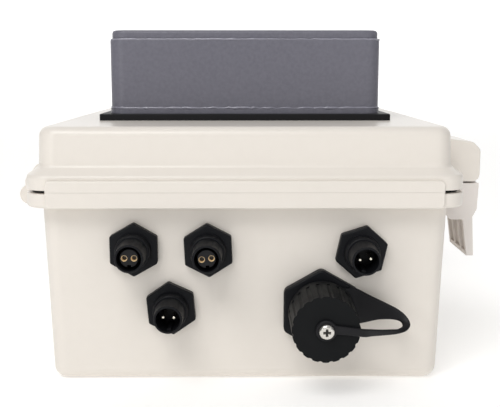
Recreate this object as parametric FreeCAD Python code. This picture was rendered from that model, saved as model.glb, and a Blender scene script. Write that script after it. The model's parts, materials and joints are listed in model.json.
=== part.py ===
"""Irrigation controller in a hinged weatherproof case, lying on its back.

Frame: millimetres, +Z up out of the cover, +Y away from the connector end, +X towards the latches.
The origin is the middle of the back face, which is the face that goes against a wall or post.

Casing       base shell, hinged cover, rim seal, two hinges on the -X side, two snap latches on the +X side.
Connector end (-Y): two 2-way socket connectors, two 2-way pin connectors, one data port with a screw cap
             on a rubber tether. The end wall has moulding draft, so every axis there tips down by DRAFT.
Pod          square shell with a solar lid, on a flat seal on top of the cover.
Inside       mounting plate, controller board with its terminals and modules, battery, leads.
"""
import FreeCAD
import Part
import math
import os

Vec = FreeCAD.Vector

# ---------------------------------------------------------------- driving dimensions, mm
DRAFT = 1.8                      # moulding draft of the base walls, degrees
WALL = 3.5                       # base wall and floor
COVER_WALL = 3.2
BASE_RIM_TOP = 82.85             # the rims stand apart, with the seal between them
COVER_RIM_FOOT = 84.15
PAD_SPLIT, PAD_GAP = 83.55, 0.06 # the end pads nearly touch

FLANGE = (92.0, 117.5, 10.0)     # rim: half width, half length, corner radius
BODY_TOP = (86.2, 111.7, 7.5)    # base wall just under the rim
RIM_BOTTOM = 76.8
PAD = (82.4, 1.5)                # raised end pads on both rims: half width, how proud
COVER_FOOT = (87.2, 112.9, 8.0)  # cover wall where it leaves the rim
COVER_HEAD = (86.7, 112.4, 8.0)
COVER_RIM_TOP = 90.0
TONGUE_TOP = 86.3                # the base's inner lip, which stands up inside the cover
COVER_SLOPE_TOP = 93.8
COVER_PAD_TOP = 88.5
COVER_TOP = 110.2

HINGE_X, HINGE_Z = -96.2, 78.5
KNUCKLE_R = 4.4
HINGE_PIN_R = 1.5
HINGE_CENTRES = (-67.5, 67.5)
HINGE_HALF = 20.0                # half length of one hinge
COVER_KNUCKLE_HALF = 9.8

LATCH_PIN = (101.3, 87.4)        # x, z of the lever's pivot
LATCH_CENTRES = (-71.0, 71.0)
LATCH_HALF = 16.0                # half width along Y
LATCH_CHEEK = 5.0                # end cheek of the cover's boss
LATCH_PIN_R, LATCH_PIN_HALF = 1.25, 14.5

BOSS = (66.0, 82.0)              # corner bosses: plate screws above, wall inserts below
BOSS_R = 6.5
BOSS_TOP = 13.0
INSERT_R, INSERT_HOLE_R, INSERT_LENGTH = 3.4, 2.1, 7.0   # outside, M5 tapping size
PLATE = (74.0, 90.0, 2.0)        # mounting plate: half width, half length, thickness

# connectors: name, x, z on the outer wall, hex turn, insert turn (degrees, clockwise from the front)
SMALL = (
    ("valve_a", -46.9, 58.8, 0.0, 0.0, "socket"),
    ("valve_b", -15.6, 58.5, -2.5, -7.0, "socket"),
    ("sensor", -31.6, 33.2, -5.0, 1.5, "pin"),
    ("supply", 49.0, 57.7, 12.0, -5.7, "pin"),
)
HEX_FLATS, HEX_THICK = 20.0, 4.0
THREAD_R = 7.0
COLLAR_R, BARREL_BASE_R, BARREL_R, MOUTH_R = 7.6, 6.5, 5.9, 5.05
BARREL_END = 18.8                # rim of the barrel, out from the wall
CAVITY_FLOOR = 6.5
SOCKET_PITCH, PIN_PITCH = 4.0, 4.5
INSERT_FACE = 17.4
STEM_R = {"socket": 3.85, "pin": 3.3}
SOCKET_R, PIN_R = 1.3, 0.8
THREAD_BACK = -14.0              # tail of the thread, inside the wall

PORT_X, PORT_Z = 32.2, 32.3
PORT_FLATS, PORT_THICK = 31.6, 4.6
PORT_THREAD_R = 12.5
NECK_R, NECK_BORE_R, NECK_END = 11.6, 9.6, 20.0
CAP_BASE_R, CAP_FACE_R = 14.05, 13.75
CAP_FOOT, CAP_FACE = 7.2, 28.5   # cap's open rim and outer face, out from the wall
JACK = (7.3, 6.2)                # half width and height of the data jack
CAP_FLUTES = 20
TETHER_THICK = 1.5

POD_HALF, POD_R = 63.3, 7.0
POD_SEAL = (67.7, 68.0, 3.0)
POD_TOP = 147.5                  # top of the shell
LID_TOP = 151.7
LID_INSET = 0.9
LID_SCREW = 56.3                 # corner screws, out from the middle
PANEL_HALF = 50.0

BOARD = (58.0, -74.0, 34.0)      # half width, near end, far end
BOARD_BOTTOM, BOARD_THICK = 23.0, 1.6
BATTERY_HEADER = (20.0, 27.0)    # near and far face of the battery's header
BOARD_HOLES = tuple((sx * 52.0, y) for sx in (-1, 1) for y in (-64.0, -20.0, 28.0))

CELL_R, CELL_LENGTH = 9.1, 65.0
CELL_Y = (52.5, 72.5)


# ---------------------------------------------------------------- helpers
def rounded_rect(half_x, half_y, radius, z, centre=(0.0, 0.0)):
    """Closed wire of a rectangle with round corners, flat at height z."""
    cx, cy = centre
    corners = ((1, 1, 0), (-1, 1, 90), (-1, -1, 180), (1, -1, 270))
    arcs = []
    for sx, sy, start in corners:
        mid = Vec(cx + sx * (half_x - radius), cy + sy * (half_y - radius), z)
        pts = [mid + Vec(radius * math.cos(math.radians(start + a)),
                         radius * math.sin(math.radians(start + a)), 0)
               for a in (0, 45, 90)]
        arcs.append(pts)
    edges = []
    for i, pts in enumerate(arcs):
        edges.append(Part.Arc(*pts).toShape())
        edges.append(Part.LineSegment(pts[2], arcs[(i + 1) % 4][0]).toShape())
    return Part.Wire(edges)


def block(half_x, half_y, radius, z0, z1, centre=(0.0, 0.0)):
    """Upright block with round corners."""
    face = Part.Face(rounded_rect(half_x, half_y, radius, z0, centre))
    return face.extrude(Vec(0, 0, z1 - z0))


def taper(low, high, z0, z1):
    """Block whose outline runs straight from low to high; each is half width, half length, corner radius."""
    return Part.makeLoft([rounded_rect(*low, z0), rounded_rect(*high, z1)], True, True)


def box(x0, x1, y0, y1, z0, z1):
    return Part.makeBox(x1 - x0, y1 - y0, z1 - z0, Vec(x0, y0, z0))


def rod(radius, start, end):
    """Solid cylinder between two points."""
    a, b = Vec(*start), Vec(*end)
    return Part.makeCylinder(radius, (b - a).Length, a, b - a)


def polygon_xz(points, y0, y1):
    """Prism of an outline given in X and Z, from y0 to y1."""
    loop = [Vec(x, y0, z) for x, z in points]
    return Part.Face(Part.makePolygon(loop + loop[:1])).extrude(Vec(0, y1 - y0, 0))


def fuse(shapes):
    shapes = list(shapes)
    return shapes[0].multiFuse(shapes[1:]).removeSplitter()


def cut(shape, tools):
    return shape.cut(list(tools))


def round_edges(shape, radius, wanted):
    """Rounds the edges that wanted(edge) picks."""
    edges = [e for e in shape.Edges if wanted(e)]
    return shape.makeFillet(radius, edges) if edges else shape


def flat_at(z, reach=0.02):
    """Picks edges that lie wholly at height z."""
    return lambda e: abs(e.BoundBox.ZMin - z) < reach and abs(e.BoundBox.ZMax - z) < reach


def outside(half_x, half_y):
    """Picks edges that reach past a rectangle round the middle."""
    return lambda e: (e.BoundBox.XMax > half_x or e.BoundBox.XMin < -half_x
                      or e.BoundBox.YMax > half_y or e.BoundBox.YMin < -half_y)


def both(*tests):
    return lambda e: all(t(e) for t in tests)


def wall_y(z):
    """Y of the outer face of the connector wall at height z."""
    return -BODY_TOP[1] + (RIM_BOTTOM - z) * math.tan(math.radians(DRAFT))


def on_wall(shape, x, z, turn=0.0):
    """Carries a shape built round +Z, with its foot on Z=0, to the connector wall at x, z.
    Its +Z then points out of the wall and its +Y up the wall. turn is clockwise from the front."""
    moved = shape.copy()
    moved.rotate(Vec(0, 0, 0), Vec(0, 0, 1), -turn)
    moved.rotate(Vec(0, 0, 0), Vec(1, 0, 0), 90.0 + DRAFT)
    moved.translate(Vec(x, wall_y(z), z))
    return moved


def hex_prism(flats, z0, z1, corner_r):
    """Hexagon with a corner on +Y and rounded corners."""
    reach = flats / math.sqrt(3.0)
    turns = [math.radians(60 * i) for i in range(7)]
    pts = [Vec(reach * math.sin(t), reach * math.cos(t), z0) for t in turns]
    solid = Part.Face(Part.makePolygon(pts)).extrude(Vec(0, 0, z1 - z0))
    return round_edges(solid, corner_r, lambda e: e.BoundBox.ZLength > 0.9 * (z1 - z0))


def pan_screw(head_r, head_h, shank_r, length):
    """Cross-head screw pointing down -Z, with the underside of its head at Z=0."""
    head = Part.makeCylinder(head_r, head_h)
    head = round_edges(head, head_h * 0.62, flat_at(head_h))
    slot, reach, floor = head_r * 0.17, head_r * 0.50, head_h * 0.38
    cross = fuse([box(-reach, reach, -slot, slot, floor, head_h + 1),
                  box(-slot, slot, -reach, reach, floor, head_h + 1)])
    return fuse([head.cut(cross), Part.makeCylinder(shank_r, length, Vec(0, 0, -length))])


def placed(shape, x, y, z):
    moved = shape.copy()
    moved.translate(Vec(x, y, z))
    return moved


def flipped(shape):
    moved = shape.copy()
    moved.rotate(Vec(0, 0, 0), Vec(1, 0, 0), 180)
    return moved


def corners(x, y):
    return [(sx * x, sy * y) for sx in (-1, 1) for sy in (-1, 1)]


# ---------------------------------------------------------------- casing
def end_pads(z0, z1, seam_at_top):
    """The raised pads across both ends of a rim, rounded except where the two halves meet."""
    half, proud = PAD
    z_seam, z_free = (z1, z0) if seam_at_top else (z0, z1)
    made = []
    for side in (-1, 1):
        y_root, y_face = side * (FLANGE[1] - 3.0), side * (FLANGE[1] + proud)
        pad = box(-half, half, min(y_root, y_face), max(y_root, y_face), z0, z1)
        pad = round_edges(pad, 2.0, lambda e: e.BoundBox.YLength > 2 and abs(e.BoundBox.ZMin - z_free) < 0.01)
        on_face = lambda e: abs(e.BoundBox.YMin - y_face) < 0.01 and e.BoundBox.YLength < 0.01
        pad = round_edges(pad, 0.7, lambda e: on_face(e) and not flat_at(z_seam)(e))
        made.append(pad)
    return made


def hinge_spans(centre):
    """Y ranges of one hinge: the base's two knuckles, then the cover's."""
    gap = 0.3
    inner = COVER_KNUCKLE_HALF + gap
    outer = [(centre - HINGE_HALF, centre - inner), (centre + inner, centre + HINGE_HALF)]
    return outer, (centre - COVER_KNUCKLE_HALF, centre + COVER_KNUCKLE_HALF)


def enclosure_base():
    slope = math.tan(math.radians(DRAFT))
    low = (BODY_TOP[0] - RIM_BOTTOM * slope, BODY_TOP[1] - RIM_BOTTOM * slope, 6.5)
    body = round_edges(taper(low, BODY_TOP, 0.0, RIM_BOTTOM), 5.0, flat_at(0.0))
    rim_top = BASE_RIM_TOP
    rim = block(*FLANGE, RIM_BOTTOM, rim_top)
    rim = round_edges(rim, 1.2, flat_at(RIM_BOTTOM))
    rim = round_edges(rim, 0.5, flat_at(rim_top))
    tongue = block(85.7, 110.9, 7.0, rim_top - 1, TONGUE_TOP)
    solids = [body, rim, tongue] + end_pads(RIM_BOTTOM, PAD_SPLIT, True)
    notches = []
    for centre in HINGE_CENTRES:
        fixed, moving = hinge_spans(centre)
        for y0, y1 in fixed:
            solids.append(rod(KNUCKLE_R, (HINGE_X, y0, HINGE_Z), (HINGE_X, y1, HINGE_Z)))
            solids.append(box(HINGE_X, -85.0, y0, y1, HINGE_Z - KNUCKLE_R + 0.1, HINGE_Z + KNUCKLE_R - 0.1))
        notches.append(box(-95.0, HINGE_X + KNUCKLE_R + 0.9, moving[0] - 0.3, moving[1] + 0.3, 70.0, 90.0))
    shell = fuse(solids)

    inner_low = (low[0] - WALL, low[1] - WALL, 4.0)
    inner_high = (83.2, 108.4, 4.5)
    hollow = taper(inner_low, inner_high, WALL, TONGUE_TOP + 1.0)
    hollow = round_edges(hollow, 2.0, flat_at(WALL))
    shell = shell.cut(hollow)
    boss_height = BOSS_TOP - WALL + 0.5
    bosses = [Part.makeCylinder(BOSS_R, boss_height, Vec(x, y, WALL - 0.5)) for x, y in corners(*BOSS)]
    shell = fuse([shell] + bosses)

    holes = []
    for x, y in corners(*BOSS):
        holes.append(Part.makeCylinder(INSERT_R, INSERT_LENGTH, Vec(x, y, 0)))
        holes.append(Part.makeCylinder(1.7, 5.0, Vec(x, y, BOSS_TOP - 4.9)))
    for _, x, z, _, _, _ in SMALL:
        holes.append(on_wall(Part.makeCylinder(THREAD_R + 0.15, 20, Vec(0, 0, -12)), x, z))
    holes.append(on_wall(Part.makeCylinder(PORT_THREAD_R + 0.15, 20, Vec(0, 0, -12)), PORT_X, PORT_Z))
    holes += [rod(HINGE_PIN_R, (HINGE_X, c - HINGE_HALF + 2, HINGE_Z), (HINGE_X, c + HINGE_HALF + 1, HINGE_Z))
              for c in HINGE_CENTRES]
    return cut(shell, holes + notches)


def latch_boss(centre):
    """Block on the cover that carries one lever's pin between two end cheeks."""
    px, pz = LATCH_PIN
    reach, foot = 3.75, COVER_RIM_FOOT
    side = px + reach
    y0, y1 = centre - LATCH_HALF, centre + LATCH_HALF
    outline = [(86.4, foot + 3.0), (91.0, foot), (px + 1.2, foot), (px + 3.0, foot + 1.2), (side, pz),
               (side, 98.4), (101.7, 101.8), (84.6, 104.1)]
    boss = polygon_xz(outline, y0, y1)
    shoulder = lambda e: e.BoundBox.YLength > 5 and e.BoundBox.XMax > 99 and e.BoundBox.ZMin > 95
    boss = round_edges(boss, 3.0, shoulder)
    end_rim = lambda e: e.BoundBox.YLength < 0.01 and e.BoundBox.XMax > 90 and e.BoundBox.ZMin > 87
    boss = round_edges(boss, 0.8, end_rim)
    room = box(96.6, 108.0, y0 + LATCH_CHEEK, y1 - LATCH_CHEEK, 80.0, 91.6)
    return boss.cut(room)


def enclosure_cover():
    rim_foot = COVER_RIM_FOOT
    rim = block(*FLANGE, rim_foot, COVER_RIM_TOP)
    slope = taper(FLANGE, COVER_FOOT, COVER_RIM_TOP, COVER_SLOPE_TOP)
    dome = taper(COVER_FOOT, COVER_HEAD, COVER_SLOPE_TOP, COVER_TOP)
    shell = fuse([rim, slope, dome])
    shell = round_edges(shell, 4.2, flat_at(COVER_TOP))
    shell = round_edges(shell, 1.4, flat_at(COVER_RIM_TOP))
    shell = round_edges(shell, 2.2, flat_at(COVER_SLOPE_TOP))
    shell = round_edges(shell, 0.5, flat_at(rim_foot))
    shell = fuse([shell] + end_pads(PAD_SPLIT + PAD_GAP, COVER_PAD_TOP, False))

    knuckles, holes = [], []
    for centre in HINGE_CENTRES:
        _, (y0, y1) = hinge_spans(centre)
        knuckles.append(rod(KNUCKLE_R, (HINGE_X, y0, HINGE_Z), (HINGE_X, y1, HINGE_Z)))
        arm = [(-100.6, HINGE_Z), (-100.6, 84.0), (-95.0, 91.0), (-89.0, 91.0), (-89.0, 84.2),
               (-91.8, 84.2), (-91.8, HINGE_Z)]
        back = lambda e: e.BoundBox.YLength > 5 and e.BoundBox.XMax < -94.0 and e.BoundBox.ZMin > 83.0
        arm = round_edges(polygon_xz(arm, y0, y1), 2.0, back)
        knuckles.append(arm)
        holes.append(rod(HINGE_PIN_R + 0.06, (HINGE_X, y0 - 1, HINGE_Z), (HINGE_X, y1 + 1, HINGE_Z)))
    shell = fuse([shell] + knuckles + [latch_boss(c) for c in LATCH_CENTRES])

    hollow = block(COVER_HEAD[0] - COVER_WALL, COVER_HEAD[1] - COVER_WALL, 5.0,
                   rim_foot - 1, COVER_TOP - COVER_WALL)
    hollow = round_edges(hollow, 2.0, flat_at(COVER_TOP - COVER_WALL))
    rebate = block(86.2, 111.4, 7.5, rim_foot - 1, COVER_RIM_TOP)
    holes += [hollow, rebate, Part.makeCylinder(11.0, 30, Vec(0, 0, 95))]
    holes += [Part.makeCylinder(2.2, 30, Vec(x, y, 95)) for x, y in corners(50.0, 50.0)]
    for centre in LATCH_CENTRES:
        px, pz = LATCH_PIN
        holes.append(rod(LATCH_PIN_R, (px, centre - LATCH_PIN_HALF, pz), (px, centre + LATCH_PIN_HALF, pz)))
    return cut(shell, holes)


def cover_gasket():
    """Soft seal carried by the cover: a ring over the base's tongue, and a lip between the two rims."""
    z0, z1 = TONGUE_TOP + 0.1, COVER_RIM_TOP
    ring = block(86.15, 111.35, 7.4, z0, z1).cut(block(83.5, 109.2, 5.0, z0 - 1, z1 + 1))
    lip = block(90.2, 114.3, 9.0, BASE_RIM_TOP + 0.05, COVER_RIM_FOOT)
    lip = lip.cut(block(86.3, 111.5, 7.6, BASE_RIM_TOP - 1, COVER_RIM_FOOT + 1))
    return [round_edges(ring, 0.8, flat_at(z0)), lip]


def latch_lever(centre):
    """Snap lever: knuckle on the cover's pin, lip under the base rim, pull tab below."""
    px, pz = LATCH_PIN
    top, under = 83.3, 66.8
    y0, y1 = centre - LATCH_HALF, centre + LATCH_HALF
    skin = polygon_xz([(101.2, top), (104.7, top), (104.2, 71.5), (102.4, 68.1), (103.4, 50.1), (100.4, 50.1),
                       (98.1, under), (98.1, under + 2.0), (101.0, 70.4)], y0, y1)
    tab_tip = lambda e: e.BoundBox.ZMax < 66.0 and e.BoundBox.ZLength < 0.01 and e.BoundBox.YLength < 5
    skin = round_edges(skin, 0.6, tab_tip)
    cheek = [(92.7, top), (103.0, top), (103.0, 69.0), (100.6, under), (92.6, under), (89.2, 70.2),
             (89.2, 76.4), (92.7, 76.4)]
    cheeks = [polygon_xz(cheek, y0, y0 + 2.4), polygon_xz(cheek, y1 - 2.4, y1)]
    lip = box(89.2, 102.0, y0, y1, 73.6, 76.4)
    floor = box(94.0, 101.0, y0, y1, under, under + 1.8)
    half = LATCH_HALF - LATCH_CHEEK - 0.4
    knuckle = rod(3.3, (px, centre - half, pz), (px, centre + half, pz))
    web = box(px - 3.0, px + 3.3, centre - half, centre + half, top - 2.0, pz)
    lever = fuse([skin, lip, floor, knuckle, web] + cheeks)
    pocket = [(96.0, 66.0), (99.3, 66.0), (101.3, 52.0), (96.0, 52.0)]
    edges = (y0 + 2.2, centre - 6.2, centre - 4.8, centre + 4.8, centre + 6.2, y1 - 2.2)
    pockets = [polygon_xz(pocket, edges[i], edges[i + 1]) for i in (0, 2, 4)]
    return cut(lever, pockets + [rod(LATCH_PIN_R + 0.06, (px, y0, pz), (px, y1, pz))])


def hinge_pins():
    return [rod(HINGE_PIN_R, (HINGE_X, c - HINGE_HALF + 2, HINGE_Z), (HINGE_X, c + HINGE_HALF - 0.4, HINGE_Z))
            for c in HINGE_CENTRES]


def latch_pins():
    px, pz = LATCH_PIN
    reach = LATCH_PIN_HALF
    return [rod(LATCH_PIN_R, (px, c - reach, pz), (px, c + reach, pz)) for c in LATCH_CENTRES]


def wall_inserts():
    """Knurled brass inserts in the back face, tapped M5, for wall feet or a pole bracket."""
    made = []
    for x, y in corners(*BOSS):
        sleeve = Part.makeCylinder(INSERT_R, INSERT_LENGTH - 0.2, Vec(x, y, 0.2))
        made.append(sleeve.cut(Part.makeCylinder(INSERT_HOLE_R, INSERT_LENGTH + 2, Vec(x, y, -1))))
    return made


# ---------------------------------------------------------------- small connectors
def connector_body(kind):
    """Panel shell built round +Z: hex flange, collar, tapered open barrel, and its thread inside the wall."""
    flange = hex_prism(HEX_FLATS, 0.6, HEX_THICK, 1.1)
    flange = round_edges(flange, 0.7, flat_at(HEX_THICK))
    collar = Part.makeCone(COLLAR_R, COLLAR_R - 0.35, 4.8, Vec(0, 0, HEX_THICK - 0.2))
    collar = round_edges(collar, 0.8, lambda e: e.BoundBox.ZMin > HEX_THICK + 4.0)
    barrel = Part.makeCone(BARREL_BASE_R, BARREL_R, BARREL_END - HEX_THICK, Vec(0, 0, HEX_THICK))
    barrel = round_edges(barrel, 0.4, lambda e: abs(e.BoundBox.ZMin - BARREL_END) < 0.01)
    thread = Part.makeCylinder(THREAD_R, -THREAD_BACK + 1.0, Vec(0, 0, THREAD_BACK))
    body = fuse([flange, collar, barrel, thread])
    groove_floor = THREAD_R - 0.5
    rings = []
    for z in (THREAD_BACK + 0.8, THREAD_BACK + 2.1, THREAD_BACK + 3.4):
        ring = Part.makeCylinder(9, 0.55, Vec(0, 0, z))
        rings.append(ring.cut(Part.makeCylinder(groove_floor, 1, Vec(0, 0, z - 0.2))))
    mouth = Part.makeCylinder(MOUTH_R, 30, Vec(0, 0, CAVITY_FLOOR))
    back = Part.makeCylinder(4.8, CAVITY_FLOOR - THREAD_BACK - 3.0, Vec(0, 0, THREAD_BACK - 1))
    through = Part.makeCylinder(STEM_R[kind] + 0.1, 20, Vec(0, 0, -2))
    body = cut(body, rings + [mouth, back, through])
    if kind == "socket":
        return body
    return fuse([body, box(-0.8, 0.8, -MOUTH_R - 0.3, -MOUTH_R + 0.9, CAVITY_FLOOR, BARREL_END - 1.6)])


def contact_places(kind):
    """X of the two contacts."""
    pitch = SOCKET_PITCH if kind == "socket" else PIN_PITCH
    return (-pitch / 2, pitch / 2)


def connector_insert(kind):
    """Contact carrier. The socket kind stands up inside the mouth; the pin kind is a low disc."""
    top = INSERT_FACE if kind == "socket" else CAVITY_FLOOR + 0.6
    hole = SOCKET_R if kind == "socket" else PIN_R + 0.1
    stem = Part.makeCylinder(STEM_R[kind], top + 1.9, Vec(0, 0, -1.9))
    tail = Part.makeCylinder(4.7, 1.6, Vec(0, 0, -3.4))
    body = fuse([stem, tail])
    if kind == "socket":
        body = round_edges(body, 0.4, lambda e: abs(e.BoundBox.ZMin - top) < 0.01)
        body = body.cut(box(-0.8, 0.8, -5, -2.7, 4.0, 20))
    return cut(body, [Part.makeCylinder(hole, 40, Vec(x, 0, -10)) for x in contact_places(kind)])


def connector_contacts(kind):
    """Two contacts with solder tails: thin-walled sockets, or round-nosed pins."""
    made = []
    for x in contact_places(kind):
        if kind == "socket":
            sleeve = Part.makeCylinder(SOCKET_R - 0.03, 21.9, Vec(x, 0, -4.7))
            front = sleeve.cut(Part.makeCylinder(SOCKET_R - 0.17, 12, Vec(x, 0, 7.0)))
        else:
            pin = Part.makeCylinder(PIN_R, 20.0, Vec(x, 0, -4.6))
            front = round_edges(pin, 0.6, lambda e: e.BoundBox.ZMin > 15.0)
        made.append(fuse([front, Part.makeCylinder(0.9, 4.6, Vec(x, 0, -9.0))]))
    return made


def connector_nut():
    nut = hex_prism(19.0, -WALL - 4.4, -WALL - 0.4, 0.8)
    return nut.cut(Part.makeCylinder(THREAD_R + 0.02, 20, Vec(0, 0, -15)))


def flat_seal(outer, inner, thick=0.6):
    return Part.makeCylinder(outer, thick).cut(Part.makeCylinder(inner, 3, Vec(0, 0, -1)))


# ---------------------------------------------------------------- data port
def port_body():
    flange = hex_prism(PORT_FLATS, 0.8, PORT_THICK, 3.0)
    flange = round_edges(flange, 0.9, flat_at(PORT_THICK))
    neck = Part.makeCylinder(NECK_R, NECK_END - PORT_THICK + 0.5, Vec(0, 0, PORT_THICK - 0.5))
    neck = round_edges(neck, 0.6, lambda e: abs(e.BoundBox.ZMin - NECK_END) < 0.01)
    rings = [Part.makeCylinder(NECK_R + 0.45, 0.9, Vec(0, 0, 10.4 + 2.4 * i)) for i in range(4)]
    thread = Part.makeCylinder(PORT_THREAD_R, 14.0, Vec(0, 0, -13.0))
    body = fuse([flange, neck, thread] + rings)
    bore = Part.makeCylinder(NECK_BORE_R, 40, Vec(0, 0, 3.0))
    back = Part.makeCylinder(9.8, 14.0, Vec(0, 0, -14.0))
    window = box(-JACK[0], JACK[0], -JACK[1], JACK[1], -5, 8)
    return cut(body, [bore, back, window])


def port_jack():
    """Shielded data jack held in the port's window, its mouth facing out, with a short board behind."""
    half_x, half_y = JACK
    shell = box(-half_x, half_x, -half_y, half_y, -9.0, 6.0)
    shell = round_edges(shell, 0.5, lambda e: e.BoundBox.ZLength > 5)
    mouth = box(-5.9, 5.9, -3.0, 4.6, -5.5, 7.0)
    notch = box(-2.2, 2.2, -5.0, -2.9, -5.5, 7.0)
    tongue = box(-4.6, 4.6, 2.6, 3.6, -5.6, 2.6)
    return fuse([shell.cut(fuse([mouth, notch])), tongue])


def port_nut():
    nut = hex_prism(31.0, -WALL - 6.4, -WALL - 0.4, 1.2)
    return nut.cut(Part.makeCylinder(PORT_THREAD_R + 0.02, 20, Vec(0, 0, -15)))


def port_cap():
    """Screw cap with rounded grip flutes that run out before its face."""
    body = Part.makeCone(CAP_BASE_R, CAP_FACE_R, CAP_FACE - CAP_FOOT, Vec(0, 0, CAP_FOOT))
    flutes = []
    for i in range(CAP_FLUTES):
        a = math.radians(360.0 * (i + 0.5) / CAP_FLUTES)
        foot = Vec((CAP_BASE_R + 0.75) * math.cos(a), (CAP_BASE_R + 0.75) * math.sin(a), CAP_FOOT + 3.4)
        head = Vec((CAP_FACE_R + 0.75) * math.cos(a), (CAP_FACE_R + 0.75) * math.sin(a), CAP_FACE + 1.0)
        flutes.append(rod(1.25, foot, head))
    body = cut(body, flutes)
    limit = round_edges(Part.makeCylinder(CAP_BASE_R + 1, CAP_FACE), 1.6, flat_at(CAP_FACE))
    body = body.common(limit)
    hollow = Part.makeCylinder(NECK_R + 0.75, NECK_END + 1.6 - CAP_FOOT + 1, Vec(0, 0, CAP_FOOT - 1))
    screw_hole = Part.makeCylinder(1.55, 10, Vec(0, 0, CAP_FACE - 6))
    return cut(body, [hollow, screw_hole])


TETHER = (  # stations along the band: outer edge x, y; inner edge x, y; how far out its middle is
    (12.0, 11.3, 12.0, -6.3, 5.42), (15.4, 10.1, 15.4, -5.2, 5.5), (20.0, 7.8, 19.5, -4.1, 6.1),
    (24.8, 5.6, 23.5, -2.9, 7.0), (28.5, 4.0, 27.0, -2.3, 8.1), (31.2, 2.8, 29.6, -2.05, 9.2),
    (33.6, 1.3, 31.6, -2.12, 10.4), (35.2, -0.2, 32.7, -2.45, 11.6), (36.1, -1.6, 33.0, -2.85, 12.7),
    (36.3, -3.0, 33.0, -3.05, 13.8), (35.5, -4.2, 32.7, -3.3, 14.9), (34.0, -5.0, 31.8, -3.45, 16.0),
    (31.6, -5.3, 30.2, -3.5, 17.4), (28.9, -5.2, 28.3, -3.0, 19.0), (25.6, -4.7, 25.4, -2.35, 21.2),
    (22.2, -4.1, 22.2, -1.55, 23.6), (18.8, -3.4, 18.8, -0.5, 26.2), (15.8, -2.9, 15.8, 0.4, 28.6),
    (13.6, -2.5, 13.6, 0.8, 29.3), (9.0, -1.9, 9.0, 1.5, 29.32), (3.0, -1.3, 3.0, 2.3, 29.32),
)


def tether_sections():
    """A rectangle wire across the band at each station."""
    middles = [Vec((a + c) / 2, (b + d) / 2, w) for a, b, c, d, w in TETHER]
    made = []
    for i, (a, b, c, d, w) in enumerate(TETHER):
        along = middles[min(i + 1, len(middles) - 1)] - middles[max(i - 1, 0)]
        across = Vec(a - c, b - d, 0)
        lift = along.cross(across)
        lift.normalize()
        lift = lift * (TETHER_THICK / 2)
        outer, inner = Vec(a, b, w), Vec(c, d, w)
        made.append(Part.makePolygon([outer + lift, inner + lift, inner - lift, outer - lift, outer + lift]))
    return made


def port_tether():
    """Rubber tether: ring behind the cap, tapering arm, turn, rising strand, eyelet under the cap's screw."""
    ring_foot = PORT_THICK + 0.05
    ring = Part.makeCylinder(13.6, TETHER_THICK, Vec(0, 0, ring_foot))
    outline = ((5.0, 12.4), (15.2, 10.2), (15.2, -5.2), (9.0, -9.8), (5.0, 12.4))
    root = Part.Face(Part.makePolygon([Vec(x, y, ring_foot) for x, y in outline]))
    root = root.extrude(Vec(0, 0, TETHER_THICK))
    band = Part.makeLoft(tether_sections(), True, True)
    eyelet = Part.makeCylinder(4.3, TETHER_THICK, Vec(0, 0, CAP_FACE + 0.05))
    whole = fuse([ring, root, band, eyelet])
    return cut(whole, [Part.makeCylinder(11.75, 9), Part.makeCylinder(1.6, 10, Vec(0, 0, CAP_FACE - 2))])


def port_cap_seal():
    ring = Part.makeCylinder(NECK_R - 0.1, 1.2, Vec(0, 0, NECK_END + 0.35))
    return ring.cut(Part.makeCylinder(8.6, 9, Vec(0, 0, 15)))


# ---------------------------------------------------------------- pod on the cover
def pod_gasket():
    half_x, half_y, thick = POD_SEAL
    sheet = block(half_x, half_y, 2.0, COVER_TOP, COVER_TOP + thick)
    sheet = round_edges(sheet, 0.5, flat_at(COVER_TOP + thick))
    holes = [Part.makeCylinder(11.0, 9, Vec(0, 0, COVER_TOP - 1))]
    holes += [Part.makeCylinder(2.2, 9, Vec(x, y, COVER_TOP - 1)) for x, y in corners(50.0, 50.0)]
    return cut(sheet, holes)


def pod_shell():
    foot = COVER_TOP + POD_SEAL[2]
    walls = block(POD_HALF, POD_HALF, POD_R, foot, POD_TOP)
    walls = round_edges(walls, 0.6, flat_at(POD_TOP))
    skirt = block(POD_HALF + 0.35, POD_HALF + 0.35, POD_R + 0.35, foot, foot + 2.4)
    skirt = round_edges(skirt, 0.3, flat_at(foot + 2.4))
    shell = fuse([walls, skirt])
    shell = shell.cut(block(POD_HALF - 3.0, POD_HALF - 3.0, 4.5, foot + 3.0, POD_TOP + 1))
    places = corners(LID_SCREW, LID_SCREW)
    posts = [Part.makeCylinder(5.2, POD_TOP - foot - 1.0, Vec(x, y, foot)) for x, y in places]
    nuts = [Part.makeCylinder(5.0, 10.0, Vec(x, y, foot)) for x, y in corners(50.0, 50.0)]
    limit = block(POD_HALF - 1.0, POD_HALF - 1.0, 6.0, foot, POD_TOP)
    shell = fuse([shell] + [p.common(limit) for p in posts + nuts])
    holes = [Part.makeCylinder(1.25, 12.0, Vec(x, y, POD_TOP - 12.0)) for x, y in places]
    holes += [Part.makeCylinder(1.65, 8.0, Vec(x, y, foot - 0.5)) for x, y in corners(50.0, 50.0)]
    holes.append(Part.makeCylinder(11.0, 9, Vec(0, 0, foot - 1)))
    return cut(shell, holes)


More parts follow.
